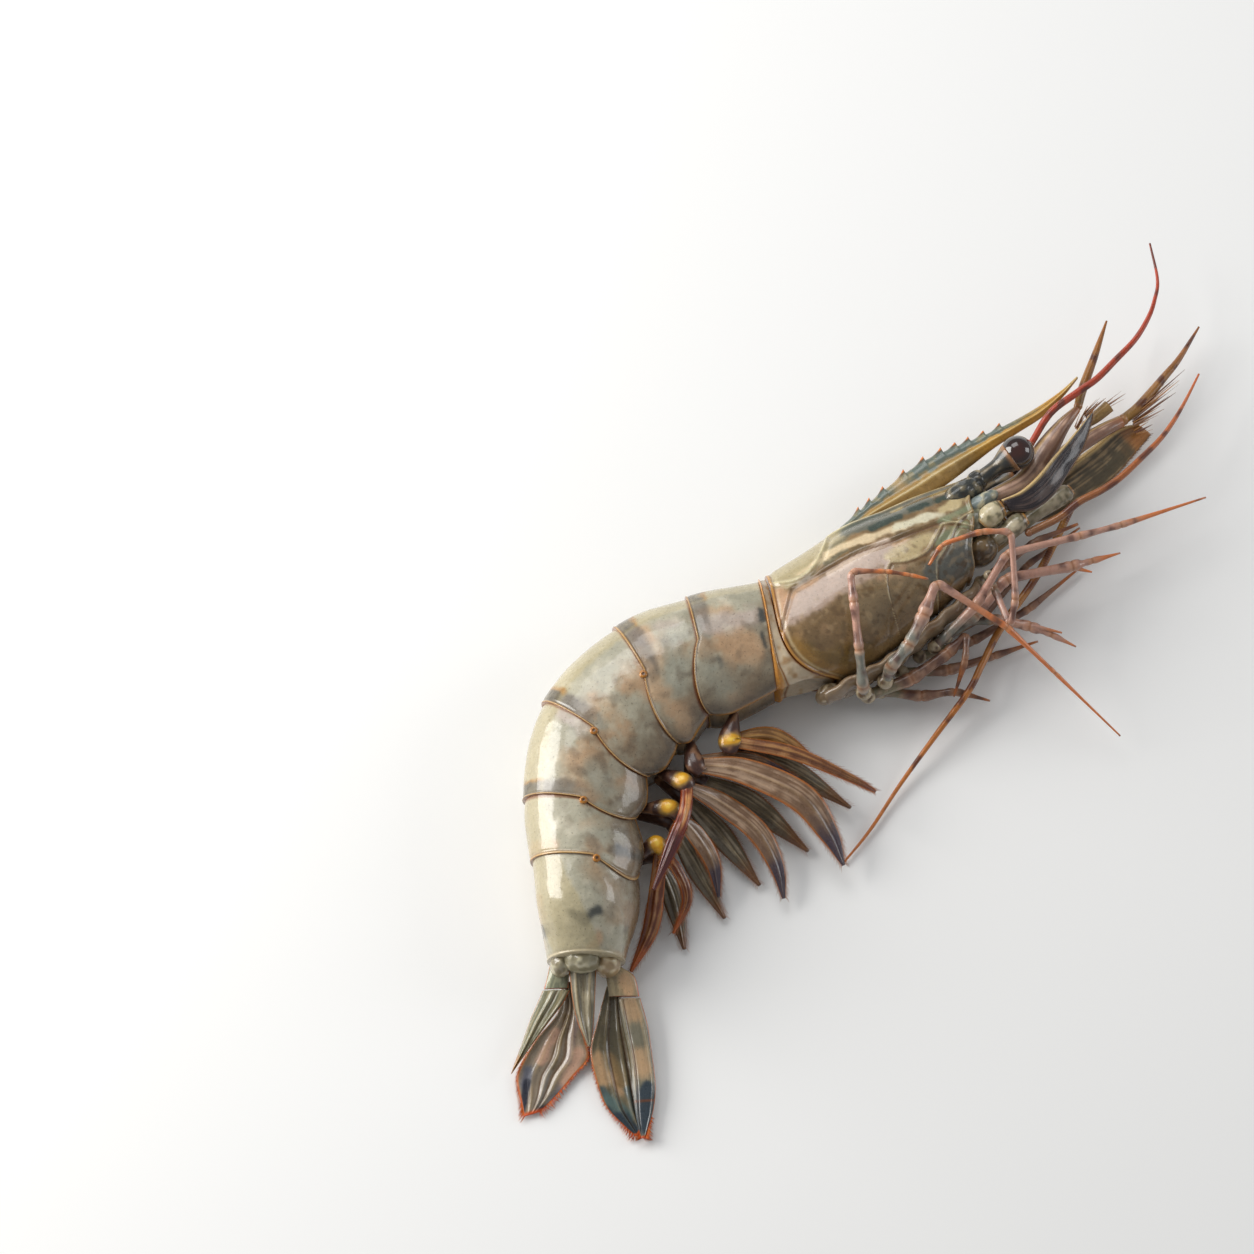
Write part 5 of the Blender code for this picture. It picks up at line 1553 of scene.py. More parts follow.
@dataclass
class Legs:
    """Walking legs and jaw feet."""

    limbs: dict[str, tuple[Row, ...]] = field(default_factory=lambda: {
        "leg_right_5": (
            (3.2, -21.6, 12.6, 1.5), (2.8, -21.4, 17.0, 1.5), (5.8, -15.1, 23.0, 1.2),
            (10.5, -5.9, 27.0, 1.15), (13.7, 0.3, 28.75, 0.9), (20.4, -4.2, 28.8, 0.6),
            (24.7, -8.2, 28.7, 0.5), (27.6, -11.4, 28.8, 0.3)
        ),
        "leg_right_4": (
            (9.0, -22.0, 12.0, 1.5), (11.0, -21.2, 17.5, 1.5), (16.8, -20.0, 21.0, 1.5),
            (23.0, -16.7, 24.0, 1.6), (29.4, -12.3, 26.0, 1.1), (38.2, -29.0, 20.0, 0.8),
            (42.8, -42.8, 13.0, 0.5), (48.5, -62.1, 5.0, 0.22)
        ),
        "leg_right_3": (
            (24.0, -20.9, 9.6, 1.3), (36.4, -19.6, 16.2, 1.2), (48.8, -13.9, 19.6, 1.0),
            (66.4, -19.1, 16.6, 0.95), (76.7, -21.7, 14.4, 0.8), (99.3, -25.9, 9.0, 0.22)
        ),
        "leg_right_2": (
            (28.4, -19.6, 7.0, 1.3), (36.6, -20.2, 10.8, 1.35), (46.8, -17.4, 13.8, 1.3),
            (61.7, -23.3, 12.6, 1.3), (66.6, -24.6, 11.8, 0.75), (73.6, -26.5, 11.0, 0.2)
        ),
        "leg_right_1": (
            (34.2, -18.8, 6.4, 1.2), (39.8, -22.6, 8.6, 1.3), (45.5, -29.5, 10.4, 1.2),
            (48.4, -34.0, 10.4, 0.7), (51.6, -39.4, 9.6, 0.2)
        ),
        "jaw_foot_right": (
            (43.6, -14.6, 14.6, 0.9), (42.6, -18.4, 15.2, 0.9), (39.8, -28.6, 17.2, 0.9),
            (43.8, -24.6, 20.6, 0.9), (51.2, -11.8, 26.0, 0.85), (45.3, -8.2, 27.0, 0.75),
            (35.7, -5.5, 26.6, 0.6), (30.6, -7.8, 25.4, 0.4)
        ),
        "leg_left_5": (
            (4.4, -21.8, 8.6, 1.5), (15.1, -24.2, 9.0, 1.6), (25.6, -24.0, 9.8, 1.4),
            (32.0, -22.6, 10.6, 0.9), (28.0, -27.8, 10.4, 0.8), (21.6, -32.6, 6.0, 0.25)
        ),
        "leg_left_4": (
            (8.4, -21.8, 5.4, 1.4), (15.6, -28.0, 4.8, 1.3), (22.8, -31.4, 5.0, 0.9),
            (28.6, -37.6, 3.6, 0.25)
        ),
        "leg_left_3": (
            (15.0, -20.8, 5.4, 1.4), (24.6, -26.2, 4.6, 1.3), (36.0, -28.8, 2.8, 0.9),
            (47.0, -31.4, 2.0, 0.25)
        ),
        "leg_left_2": (
            (20.8, -19.8, 5.4, 1.3), (34.0, -23.0, 3.0, 1.1), (50.0, -23.6, 2.0, 0.9),
            (66.0, -21.8, 1.8, 0.25)
        ),
        "leg_left_1": (
            (26.6, -18.8, 3.8, 1.2), (40.0, -19.0, 2.2, 1.1), (56.0, -14.4, 2.4, 0.8),
            (72.0, -13.6, 2.0, 0.25)
        ),
        "jaw_foot_left": (
            (42.6, -13.2, 8.4, 1.1), (50.0, -13.0, 9.0, 1.1), (59.0, -12.6, 9.8, 0.9),
            (70.0, -14.6, 9.6, 0.35)
        ),
    })
    pincers: dict[str, tuple[Row, ...]] = field(default_factory=lambda: {
        "leg_right_2": ((61.6, -23.4, 12.4, 0.7), (64.9, -27.0, 12.2, 0.2)),
        "leg_right_1": ((45.6, -29.7, 11.0, 0.7), (50.4, -35.2, 11.4, 0.2)),
    })
    # Colours of the near legs and of the far legs, root to tip; the far ones are darker, most past the root:
    # painted shade for the legs that lie under the body.
    near: tuple[Colour, ...] = ((0.50, 0.50, 0.46), (0.72, 0.55, 0.48), (0.80, 0.46, 0.24))
    far: tuple[Colour, ...] = ((0.50, 0.47, 0.37), (0.52, 0.38, 0.30), (0.64, 0.36, 0.16))
    spans: dict[str, tuple[float, float]] = field(default_factory=lambda: {
        "leg_right_5": (0.27, 0.66),
        "leg_right_4": (0.2, 0.42),
        "leg_right_3": (0.10, 0.72),
        "leg_right_2": (0.22, 0.86),
        "leg_right_1": (0.3, 0.9),
        "jaw_foot_right": (0.08, 0.66),
    })
    knob: float = 1.3
    knee_reach: float = 1.9
    knee_steps: int = 8
    knee_swell: float = 1.12
    step_length: float = 0.9
    waist: float = 0.14

    def path(self, rows: Sequence[Row]) -> tuple[Path, list[float], list[float]]:
        """Path of a limb with rounded knees.

        Args:
            rows: joints of the limb, each a place in the head frame and a radius.

        Returns:
            The path, and for each of its points the share along the limb and the distance to a joint.
        """
        corners = [head_point(*row[:3]) for row in rows]
        points, radii, joints = [corners[0]], [rows[0][3]], [0.0]
        for i in range(1, len(rows)):
            behind = (corners[i - 1] - corners[i]).normalized()
            reach = 0.0
            if i < len(rows) - 1:
                reach = min(self.knee_reach, (corners[i + 1] - corners[i]).length * 0.4)
            stop = corners[i] + behind * reach
            start, first = points[-1], radii[-1]
            run = (stop - start).length
            count = max(int(run / self.step_length), 2)
            for k in range(1, count + 1):
                share = k / count
                points.append(start.lerp(stop, share))
                pinch = 1.0 - self.waist * math.sin(math.pi * share)
                radii.append((first + (rows[i][3] - first) * share) * pinch)
                joints.append(min(run * share + self.knee_reach, run * (1.0 - share) + reach))
            if reach == 0.0:
                continue
            ahead = (corners[i + 1] - corners[i]).normalized()
            for k in range(1, self.knee_steps + 1):
                t = k / self.knee_steps
                offset = behind * reach * (1.0 - t) ** 2 + ahead * reach * t ** 2
                points.append(corners[i] + offset)
                notch = 1.0 - 0.16 * hump(t, 0.5, 0.12)
                swell = 1.0 + (self.knee_swell - 1.0) * math.sin(math.pi * t) ** 0.5
                radii.append(rows[i][3] * swell * notch)
                joints.append(abs(t - 0.5) * 2.0 * reach)
        lengths = [0.0]
        for one, two in zip(points, points[1:]):
            lengths.append(lengths[-1] + (two - one).length)
        shares = [length / lengths[-1] for length in lengths]
        thicks = [radius * 0.92 for radius in radii]
        return Path(points, radii, thicks, Carry.FREE), shares, joints

    def build(self) -> None:
        """Build every leg."""
        for name, rows in self.limbs.items():
            path, shares, joints = self.path(rows)
            root, middle, tip = self.near if "right" in name else self.far
            low, high = self.spans.get(name, (0.18, 0.8))

            def paint(share: float, joint: float, point: Vector) -> Paint:
                """Paint at a share of the limb's length and at a distance from its nearest joint."""
                rough = 0.6 * ripple(point, 1.8, 3.0) + 0.4 * ripple(point, 0.8, 6.0)
                coat = Paint(root).lay(middle, step(share + 0.04 * rough, low - 0.04, low + 0.05))
                coat.lay(tip, step(share + 0.06 * rough, high - 0.06, high + 0.12))
                pale = step(ripple(point, 1.4, 9.0), 0.0, 0.4) * step(share, high, low)
                coat.lay((0.84, 0.70, 0.60), 0.45 * pale)
                smudge = step(joint, 5.2, 3.0) * step(joint, 1.2, 2.2)
                coat.lay((0.33, 0.22, 0.19), 0.75 * smudge * step(ripple(point, 2.4, 30.0), -0.1, 0.3))
                coat.lay((0.78, 0.60, 0.46), 0.5 * step(joint, 1.3, 0.4))
                return coat.lay((0.52, 0.29, 0.16), 0.5 * step(joint, 0.3, 0.05))

            draft = Draft()
            draft.tube(path.surface, path.rows, 20,
                       lambda u, v, point: paint(shares[round(u * path.rows)],
                                                 joints[round(u * path.rows)], point))

            def knob(co: Vector) -> tuple[Vector, Paint]:
                """Mottled knob at the limb's root."""
                co += path.points[0]
                co.z = max(co.z, FLOOR_CLEARANCE)
                spots = step(ripple(co, 1.6, 4.0), 0.0, 0.4)
                return co, Paint((0.70, 0.64, 0.53)).lay((0.40, 0.32, 0.24), spots)

            draft.ball(24, 16, self.knob * path.wides[0], knob)
            if name in self.pincers:
                finger = Path.smooth(self.pincers[name], head_point, 16)
                draft.tube(finger.surface, finger.rows, 16,
                           lambda u, v, point: paint(0.8 + 0.2 * u, 6.0, point))
            draft.piece(name, LIMB_SKIN, [name])


@dataclass
class Swimmerets:
    """Swimmerets: cells with a yellow middle that carry thin, fringed blades."""

    abdomen: Abdomen
    places: tuple[float, ...] = (0.62, 1.66, 2.68, 3.7, 4.7)
    share: float = 0.46
    root: float = 1.0
    clearance: float = 0.35
    yolks: dict[str, Row] = field(default_factory=lambda: {
        "swimmeret_right_1": (-30.2, -13.4, 2.7, 1.35, 12.0),
        "swimmeret_right_3": (-41.7, -23.3, 1.9, 1.5, 40.0),
        "swimmeret_right_4": (-44.7, -29.4, 2.0, 1.7, 20.0),
        "swimmeret_right_5": (-47.4, -37.8, 1.6, 2.5, 10.0),
    })
    looks: dict[str, Streaks] = field(default_factory=lambda: {
        "right_3_1": Streaks((0.46, 0.19, 0.10), (0.82, 0.58, 0.35), edge=(0.50, 0.18, 0.08),
                             tip=(0.30, 0.12, 0.13), tip_from=0.42, count=2.0),
        "right_5": Streaks((0.40, 0.19, 0.09), (0.60, 0.42, 0.26), edge=(0.66, 0.34, 0.13),
                           tip=(0.68, 0.34, 0.13), tip_from=0.7, count=3.0),
        "right_1_1": Streaks((0.42, 0.25, 0.14), (0.64, 0.46, 0.28), edge=(0.72, 0.40, 0.16),
                             tip=(0.42, 0.26, 0.22), tip_from=0.7, count=3.0),
        "right_1": Streaks((0.44, 0.30, 0.15), (0.62, 0.46, 0.26), edge=(0.62, 0.36, 0.13),
                           tip=(0.55, 0.32, 0.14), tip_from=0.7, count=5.0),
        "left": Streaks((0.40, 0.36, 0.29), (0.62, 0.57, 0.48), edge=(0.46, 0.28, 0.14),
                        tip=(0.44, 0.28, 0.16), tip_from=0.7, count=6.0),
        "right": Streaks((0.47, 0.36, 0.27), (0.68, 0.57, 0.47), edge=(0.70, 0.40, 0.16),
                         tip=(0.24, 0.20, 0.25), tip_from=0.60, count=7.0),
    })
    bristles_from: float = 0.45
    bristle_width: float = 0.09
    bristle_colour: Colour = (0.58, 0.32, 0.13)
    limbs: dict[str, tuple] = field(default_factory=lambda: {
        "swimmeret_right_1": (
            (
                (-31.2, -11.2, 13.6, 2.2, 1.6), (-30.4, -13.4, 13.8, 2.8, 1.7),
                (-28.2, -14.6, 13.8, 1.6, 1.2)
            ),
            (
                (-29.4, -13.6, 14.0, 1.4, 0.7), (-16.0, -15.9, 13.0, 1.7, 0.6),
                (-2.5, -21.4, 11.0, 1.0, 0.4), (3.5, -24.5, 10.0, 0.25, 0.2)
            ),
            ((-30.0, -12.4, 12.9, 1.2, 0.7), (-20.0, -11.6, 10.6, 2.6, 0.6), (-9.3, -17.4, 8.6, 0.5, 0.3))
        ),
        "swimmeret_right_2": (
            (
                (-39.8, -18.6, 14.6, 2.2, 1.6), (-38.6, -18.9, 14.6, 2.3, 1.6),
                (-36.8, -21.2, 14.5, 1.6, 1.2)
            ),
            (
                (-37.4, -19.6, 14.6, 1.8, 0.9), (-27.0, -20.6, 13.4, 3.2, 0.7),
                (-14.0, -26.0, 10.8, 3.6, 0.6), (-7.4, -34.0, 7.6, 2.4, 0.5), (-4.0, -41.0, 5.6, 0.4, 0.3)
            ),
            ((-38.8, -17.9, 13.8, 1.0, 0.6), (-26.0, -16.8, 10.0, 2.0, 0.6), (-14.6, -20.4, 7.6, 0.5, 0.3))
        ),
        "swimmeret_right_3": (
            (
                (-43.2, -22.0, 14.4, 2.0, 1.6), (-41.6, -23.6, 15.0, 2.3, 1.8),
                (-39.6, -25.4, 14.8, 1.7, 1.4)
            ),
            (
                (-40.4, -24.8, 15.0, 1.4, 0.9), (-41.0, -32.0, 17.2, 1.5, 0.8),
                (-44.0, -40.0, 17.0, 1.5, 0.6), (-48.2, -50.0, 15.6, 0.4, 0.3)
            ),
            (
                (-40.2, -24.8, 14.4, 1.4, 0.9), (-32.4, -27.4, 10.2, 2.6, 0.7),
                (-24.0, -33.4, 7.6, 2.6, 0.6), (-19.6, -41.0, 5.2, 1.8, 0.5), (-17.9, -48.3, 3.2, 0.4, 0.3)
            )
        ),
        "swimmeret_right_4": (
            (
                (-46.6, -27.8, 12.8, 1.8, 1.6), (-44.8, -29.4, 13.2, 2.2, 1.8),
                (-42.4, -31.0, 12.6, 1.6, 1.4)
            ),
            (
                (-43.2, -30.8, 12.6, 1.3, 0.9), (-38.4, -34.6, 9.2, 2.2, 0.7),
                (-34.4, -40.6, 6.2, 1.8, 0.5), (-33.0, -48.0, 3.4, 0.4, 0.3)
            )
        ),
        "swimmeret_right_5": (
            (
                (-49.6, -36.0, 11.4, 1.8, 1.6), (-47.8, -37.8, 11.8, 2.1, 1.8),
                (-45.6, -39.6, 11.4, 1.6, 1.4)
            ),
            (
                (-46.6, -39.2, 11.4, 1.3, 0.8), (-42.6, -43.8, 10.4, 1.3, 0.6),
                (-40.4, -50.0, 7.6, 1.1, 0.5), (-43.6, -57.0, 4.0, 0.3, 0.3)
            ),
            (
                (-46.6, -39.0, 10.8, 1.4, 0.8), (-47.4, -47.6, 8.0, 1.8, 0.7),
                (-49.0, -57.0, 6.2, 1.8, 0.6), (-53.4, -66.0, 3.4, 0.4, 0.3)
            )
        ),
        "swimmeret_left_1": (
            ((-31.4, -11.0, 8.0, 2.2, 1.6), (-29.6, -13.2, 7.6, 2.6, 1.7), (-27.4, -14.6, 7.2, 1.6, 1.2)),
            ((-29.0, -13.3, 7.3, 1.3, 0.8), (-16.0, -17.6, 5.2, 2.8, 0.6), (-2.0, -26.0, 2.6, 0.4, 0.3))
        ),
        "swimmeret_left_2": (
            ((-40.2, -18.4, 8.0, 2.2, 1.6), (-38.4, -19.8, 7.6, 2.4, 1.7), (-36.0, -21.4, 7.0, 1.7, 1.3)),
            ((-37.4, -20.6, 7.2, 1.6, 0.8), (-25.0, -26.0, 4.2, 3.2, 0.6), (-12.0, -36.4, 1.8, 0.4, 0.3))
        ),
        "swimmeret_left_3": (
            ((-43.6, -22.0, 8.0, 2.0, 1.6), (-41.8, -24.0, 7.6, 2.3, 1.8), (-39.8, -26.4, 7.0, 1.6, 1.4)),
            ((-40.8, -25.4, 7.2, 1.4, 0.8), (-32.4, -33.2, 3.8, 2.8, 0.6), (-23.4, -44.6, 1.4, 0.4, 0.3))
        ),
        "swimmeret_left_4": (
            ((-46.8, -27.8, 7.4, 1.8, 1.6), (-45.0, -30.2, 7.2, 2.2, 1.8), (-43.0, -32.4, 6.4, 1.6, 1.4)),
            ((-44.0, -31.4, 6.8, 1.3, 0.8), (-37.8, -41.4, 3.4, 2.6, 0.6), (-31.6, -52.6, 1.4, 0.4, 0.3))
        ),
        "swimmeret_left_5": (
            ((-49.6, -36.0, 6.4, 1.8, 1.6), (-48.0, -38.6, 6.2, 2.1, 1.8), (-46.0, -41.0, 5.6, 1.6, 1.4)),
            ((-47.0, -40.0, 6.0, 1.3, 0.8), (-43.4, -49.0, 3.2, 2.4, 0.6), (-41.0, -60.0, 1.2, 0.4, 0.3))
        ),
    })

    def root_row(self, index: int, side: str) -> Row:
        """Row of the root of a swimmeret, just clear of the belly."""
        place = self.places[index]
        belly = self.abdomen.section(place, self.share if side == "right" else 1.0 - self.share)
        outward = (belly - self.abdomen.centre(place)).normalized()
        root = belly + outward * (self.clearance + 1.6 * self.root)
        return root.x + FOOT_X, root.y + FOOT_Y, root.z, self.root, self.root

    def streaks(self, name: str, index: int) -> Streaks:
        """Paint of one blade: that of the first key that its label holds."""
        return next(look for key, look in self.looks.items() if key in "%s_%d" % (name, index + 1))

    def base(self, name: str, rows: Sequence[Row]) -> None:
        """Build the cell of one swimmeret."""
        path = Path.smooth(rows, plan_point, 14)
        x0, y0, long, wide, turn = self.yolks.get(name, (0.0, 0.0, 0.1, 0.1, 0.0))
        cos, sin = math.cos(math.radians(turn)), math.sin(math.radians(turn))

        def paint(u: float, v: float, point: Vector) -> Paint:
            """Paint of one point of the cell."""
            x, y = plan_place(point)
            away = math.hypot(((x - x0) * cos + (y - y0) * sin) / long,
                              ((y - y0) * cos - (x - x0) * sin) / wide)
            away += 0.12 * ripple(point, 1.4) + (0.0 if v <= 0.5 else 9.0)
            coat = Paint((0.27, 0.17, 0.14)).lay((0.52, 0.38, 0.28), step(ripple(point, 2.0), 0.0, 0.4))
            coat.lay((0.56, 0.44, 0.24), step(away, 1.5, 1.1))
            coat.lay((0.84, 0.62, 0.15), step(away, 1.1, 0.8))
            return coat.lay((0.94, 0.78, 0.30), step(away, 0.6, 0.2))

        draft = Draft()
        draft.tube(path.surface, path.rows, 40, paint)
        draft.piece(name + "_base", CELL_SKIN, [name])

    def blade(self, name: str, index: int, rows: Sequence[Row], dice: random.Random) -> None:
        """Build one blade and its fringe."""
        path = Path.smooth(rows, plan_point, 24)
        streaks = self.streaks(name, index)

        def surface(u: float, v: float) -> Vector:
            """Point of the blade."""
            point = path.surface(u, v)
            across = math.cos(2.0 * math.pi * v)
            over = abs(math.sin(2.0 * math.pi * v)) ** 0.5 * math.sin(math.pi * u) ** 0.5
            rise = 0.35 * hump(across, 0.05, 0.14) - 0.22 * hump(across, 0.45, 0.2)
            rise += 0.2 * ripple(point, 3.0) * over
            return point + UP * rise * over * (1.0 if v < 0.5 else -0.3)

        def paint(u: float, v: float, point: Vector) -> Paint:
            """Paint of one point of the blade."""
            across = math.cos(2.0 * math.pi * v)
            return streaks.paint(u, v, point, step(abs(across), 0.80, 0.95), 0.5 * hump(across, 0.05, 0.05))

        draft = Draft()
        draft.tube(surface, path.rows, 56, paint)
        draft.piece("%s_blade_%d" % (name, index + 1), BLADE_SKIN, [name])
        fringe = Draft()
        for i in range(int(path.rows * self.bristles_from), path.rows):
            across, _ = path.frames[i]
            ahead = (path.points[i + 1] - path.points[i]).normalized()
            for side in (-1.0, 1.0):
                root = path.points[i] + across * side * path.wides[i] * 0.95
                length = dice.uniform(0.8, 1.9)
                tip = root + (across * side * 0.45 + ahead).normalized() * length
                tip.z = max(tip.z + dice.uniform(-0.3, 0.2), 0.1)
                fringe.bristle(root, tip, self.bristle_width, self.bristle_colour)
        fringe.piece("%s_fringe_%d" % (name, index + 1), BRISTLE_SKIN)

    def build(self) -> None:
        """Build every swimmeret."""
        dice = random.Random(11)
        for name, (base, *blades) in self.limbs.items():
            side, number = name.split("_")[1:]
            self.base(name, (self.root_row(int(number) - 1, side),) + base[1:])
            for index, rows in enumerate(blades):
                self.blade(name, index, rows, dice)


@dataclass
class TailFan:
    """Telson, the two roots of the fan and its four blades."""

    blades: dict[str, tuple[tuple[Row, Row], ...]] = field(default_factory=lambda: {
        "telson": (
            ((0.35, -4.2, 9.0), (0.35, 2.6, 9.0)), ((4.0, -3.6, 8.4), (4.0, 2.4, 8.4)),
            ((9.0, -3.0, 7.6), (9.0, 2.2, 7.6)), ((14.0, -1.8, 6.8), (14.0, 1.9, 6.8)),
            ((19.6, 0.5, 6.0), (19.6, 1.3, 6.0))
        ),
        "fan_root_right": (
            ((0.35, 3.6, 5.4), (0.35, 8.0, 5.4)), ((3.0, 4.6, 5.6), (2.6, 11.2, 5.2)),
            ((7.4, 5.4, 5.2), (7.2, 12.4, 4.6))
        ),
        "fan_root_left": (
            ((0.35, -8.4, 5.4), (0.35, -3.6, 5.4)), ((3.0, -8.9, 5.4), (3.0, -3.8, 5.6)),
            ((5.6, -9.6, 5.0), (5.4, -4.0, 5.2))
        ),
        "fan_outer_right": (
            ((7.9, 7.6, 4.8), (7.7, 12.6, 4.6)), ((14.0, 8.6, 4.2), (14.0, 14.3, 4.0)),
            ((21.5, 10.2, 3.5), (21.5, 15.4, 3.4)), ((28.0, 10.9, 2.9), (28.0, 16.1, 2.8)),
            ((34.0, 11.4, 2.5), (33.4, 15.6, 2.4)), ((38.0, 12.2, 2.2), (37.6, 14.4, 2.2)),
            ((40.6, 13.0, 2.0), (40.6, 13.4, 2.0))
        ),
        "fan_inner_right": (
            ((4.4, 4.8, 3.0), (4.4, 7.6, 3.0)), ((13.3, 2.5, 3.0), (13.3, 9.4, 2.6)),
            ((19.6, 1.1, 2.2), (19.6, 11.2, 1.8)), ((26.5, 2.5, 1.6), (26.5, 12.4, 1.3)),
            ((32.5, 4.8, 1.2), (32.5, 13.0, 0.9)), ((37.0, 9.0, 0.9), (37.0, 13.2, 0.8)),
            ((39.6, 12.0, 0.8), (39.6, 12.8, 0.8))
        ),
        "fan_outer_left": (
            ((6.0, -9.9, 5.0), (6.0, -3.6, 5.2)), ((9.0, -11.2, 4.7), (9.0, -5.2, 4.9)),
            ((13.0, -12.9, 4.2), (13.0, -8.2, 4.4)), ((18.0, -14.6, 3.6), (17.0, -11.2, 3.8)),
            ((22.5, -16.2, 3.1), (21.5, -14.4, 3.2)), ((25.2, -17.1, 2.9), (25.0, -16.8, 2.9))
        ),
        "fan_inner_left": (
            ((3.4, -5.6, 3.0), (3.4, -2.6, 3.1)), ((10.4, -6.4, 2.8), (10.4, -1.2, 3.0)),
            ((16.5, -11.2, 2.1), (16.5, -0.2, 2.3)), ((21.4, -14.2, 1.6), (21.0, 0.6, 1.8)),
            ((26.0, -15.8, 1.2), (25.0, -2.6, 1.4)), ((31.5, -14.7, 1.0), (29.5, -6.4, 1.1)),
            ((35.6, -13.7, 0.8), (35.0, -12.0, 0.8))
        ),
    })
    reach: float = 40.6
    bristle_colours: tuple[Colour, ...] = ((0.80, 0.33, 0.10), (0.86, 0.45, 0.14), (0.72, 0.28, 0.09))
    bristle_width: float = 0.13
    thick_root: float = 1.5
    thick_blade: float = 0.6
    ribs: dict[str, tuple[Row, ...]] = field(default_factory=lambda: {
        "telson": ((0.22, 0.35, 0.10), (0.78, 0.3, 0.10)),
        "fan_outer_right": ((0.10, 0.3, 0.06), (0.88, 0.3, 0.06)),
        "fan_inner_right": ((0.34, 0.35, 0.05), (0.70, 0.4, 0.05), (0.86, 0.3, 0.05)),
        "fan_outer_left": ((0.42, 0.5, 0.07), (0.90, 0.35, 0.06)),
        "fan_inner_left": ((0.28, 0.35, 0.06), (0.52, 0.5, 0.05), (0.74, 0.35, 0.06)),
    })
    grooves: dict[str, tuple[Row, ...]] = field(default_factory=lambda: {
        "telson": ((0.5, 0.3, 0.16),),
        "fan_outer_right": ((0.2, 0.2, 0.05),),
        "fan_inner_right": ((0.42, 0.25, 0.03), (0.78, 0.3, 0.03)),
        "fan_outer_left": ((0.55, 0.3, 0.06),),
        "fan_inner_left": ((0.44, 0.3, 0.04), (0.62, 0.3, 0.05)),
    })
    grounds: dict[str, tuple[Colour, Colour]] = field(default_factory=lambda: {
        "telson": ((0.40, 0.37, 0.29), (0.60, 0.56, 0.46)),
        "fan_root_right": ((0.58, 0.52, 0.40), (0.66, 0.60, 0.46)),
        "fan_root_left": ((0.50, 0.51, 0.42), (0.64, 0.64, 0.52)),
        "fan_outer_right": ((0.44, 0.42, 0.35), (0.54, 0.50, 0.41)),
        "fan_inner_right": ((0.33, 0.30, 0.22), (0.44, 0.39, 0.29)),
        "fan_outer_left": ((0.46, 0.45, 0.35), (0.60, 0.56, 0.43)),
        "fan_inner_left": ((0.52, 0.46, 0.38), (0.60, 0.54, 0.46)),
    })
    coats: dict[str, tuple[Coat, ...]] = field(default_factory=lambda: {
        "fan_root_right": (Coat.of((0.80, 0.65, 0.49), 0.9, (3.4, 9.4, 6.2, 9.8, 2.0)),),
        "fan_outer_right": (
            Coat.of(
                (0.74, 0.60, 0.45), 0.85, (9.0, 10.2, 12.0, 11.4, 2.4, 0.8),
                (20.6, 12.4, 24.4, 13.2, 2.4, 0.8)),
            Coat.of(
                (0.17, 0.22, 0.26), 0.95, (30.6, 13.8, 37.0, 13.4, 2.4, 1.3),
                (28.0, 14.6, 29.6, 14.4, 1.1, 0.8))
        ),
        "fan_inner_right": (
            Coat.of(
                (0.70, 0.56, 0.41), 0.85, (21.6, 2.4, 27.0, 4.0, 2.2, 0.8),
                (25.0, 6.4, 29.0, 8.0, 1.2, 0.7)),
            Coat.of((0.50, 0.40, 0.25), 0.8, (21.0, 6.0, 27.0, 8.0, 1.2, 0.9)),
            Coat.of(
                (0.25, 0.30, 0.30), 0.95, (29.0, 3.6, 31.0, 4.8, 1.4), (28.6, 9.6, 33.0, 11.4, 0.8, 0.9)),
            Coat.of((0.30, 0.38, 0.37), 0.9, (31.4, 5.6, 34.6, 9.0, 1.9, 1.2)),
            Coat.of(
                (0.13, 0.18, 0.22), 0.95, (36.0, 8.6, 40.0, 12.0, 2.0, 1.3),
                (33.4, 5.0, 36.0, 7.4, 0.9, 0.8))
        ),
        "fan_outer_left": (
            # Whitish thin line down the middle of the far outer blade: a painted highlight along its ridge.
            Coat.of(
                (0.74, 0.73, 0.64), 0.6, (4.0, -5.4, 11.5, -9.2, 0.55, 1.1),
                (11.5, -9.2, 17.0, -12.0, 0.4, 0.9)),
            Coat.of(
                (0.60, 0.42, 0.20), 0.9, (22.0, -15.6, 26.0, -17.2, 1.3),
                (9.0, -4.4, 17.0, -10.6, 0.5, 0.7))
        ),
        "fan_inner_left": (
            Coat.of(
                (0.78, 0.62, 0.52), 0.9, (15.0, -6.6, 22.0, -10.4, 1.1, 1.1),
                (20.0, -1.6, 28.0, -4.8, 1.9, 0.9)),
            Coat.of((0.42, 0.35, 0.22), 0.9, (12.0, -4.4, 23.0, -7.6, 0.7)),
            Coat.of((0.56, 0.49, 0.46), 0.8, (12.0, -2.0, 22.0, -4.0, 0.9, 0.9)),
            Coat.of(
                (0.34, 0.35, 0.40), 0.9, (24.6, -13.0, 27.4, -13.6, 1.6),
                (28.0, -6.0, 31.0, -8.0, 1.4, 0.6)),
            Coat.of(
                (0.57, 0.56, 0.55), 0.6, (22.0, -8.0, 32.0, -10.8, 0.8), (33.6, -12.0, 35.4, -13.2, 0.9)),
            Coat.of(
                (0.12, 0.13, 0.18), 0.95, (27.0, -13.4, 33.0, -14.6, 0.9, 1.2),
                (32.6, -8.6, 34.0, -10.6, 1.1, 1.1))
        ),
    })
    suture: float = 0.62
    fringes: dict[str, Row] = field(default_factory=lambda: {
        "fan_inner_right": (0.42, 0.55, 0.965),
        "fan_outer_right": (0.86, 0.75, 0.965),
        "fan_inner_left": (0.45, 0.35, 0.96),
    })

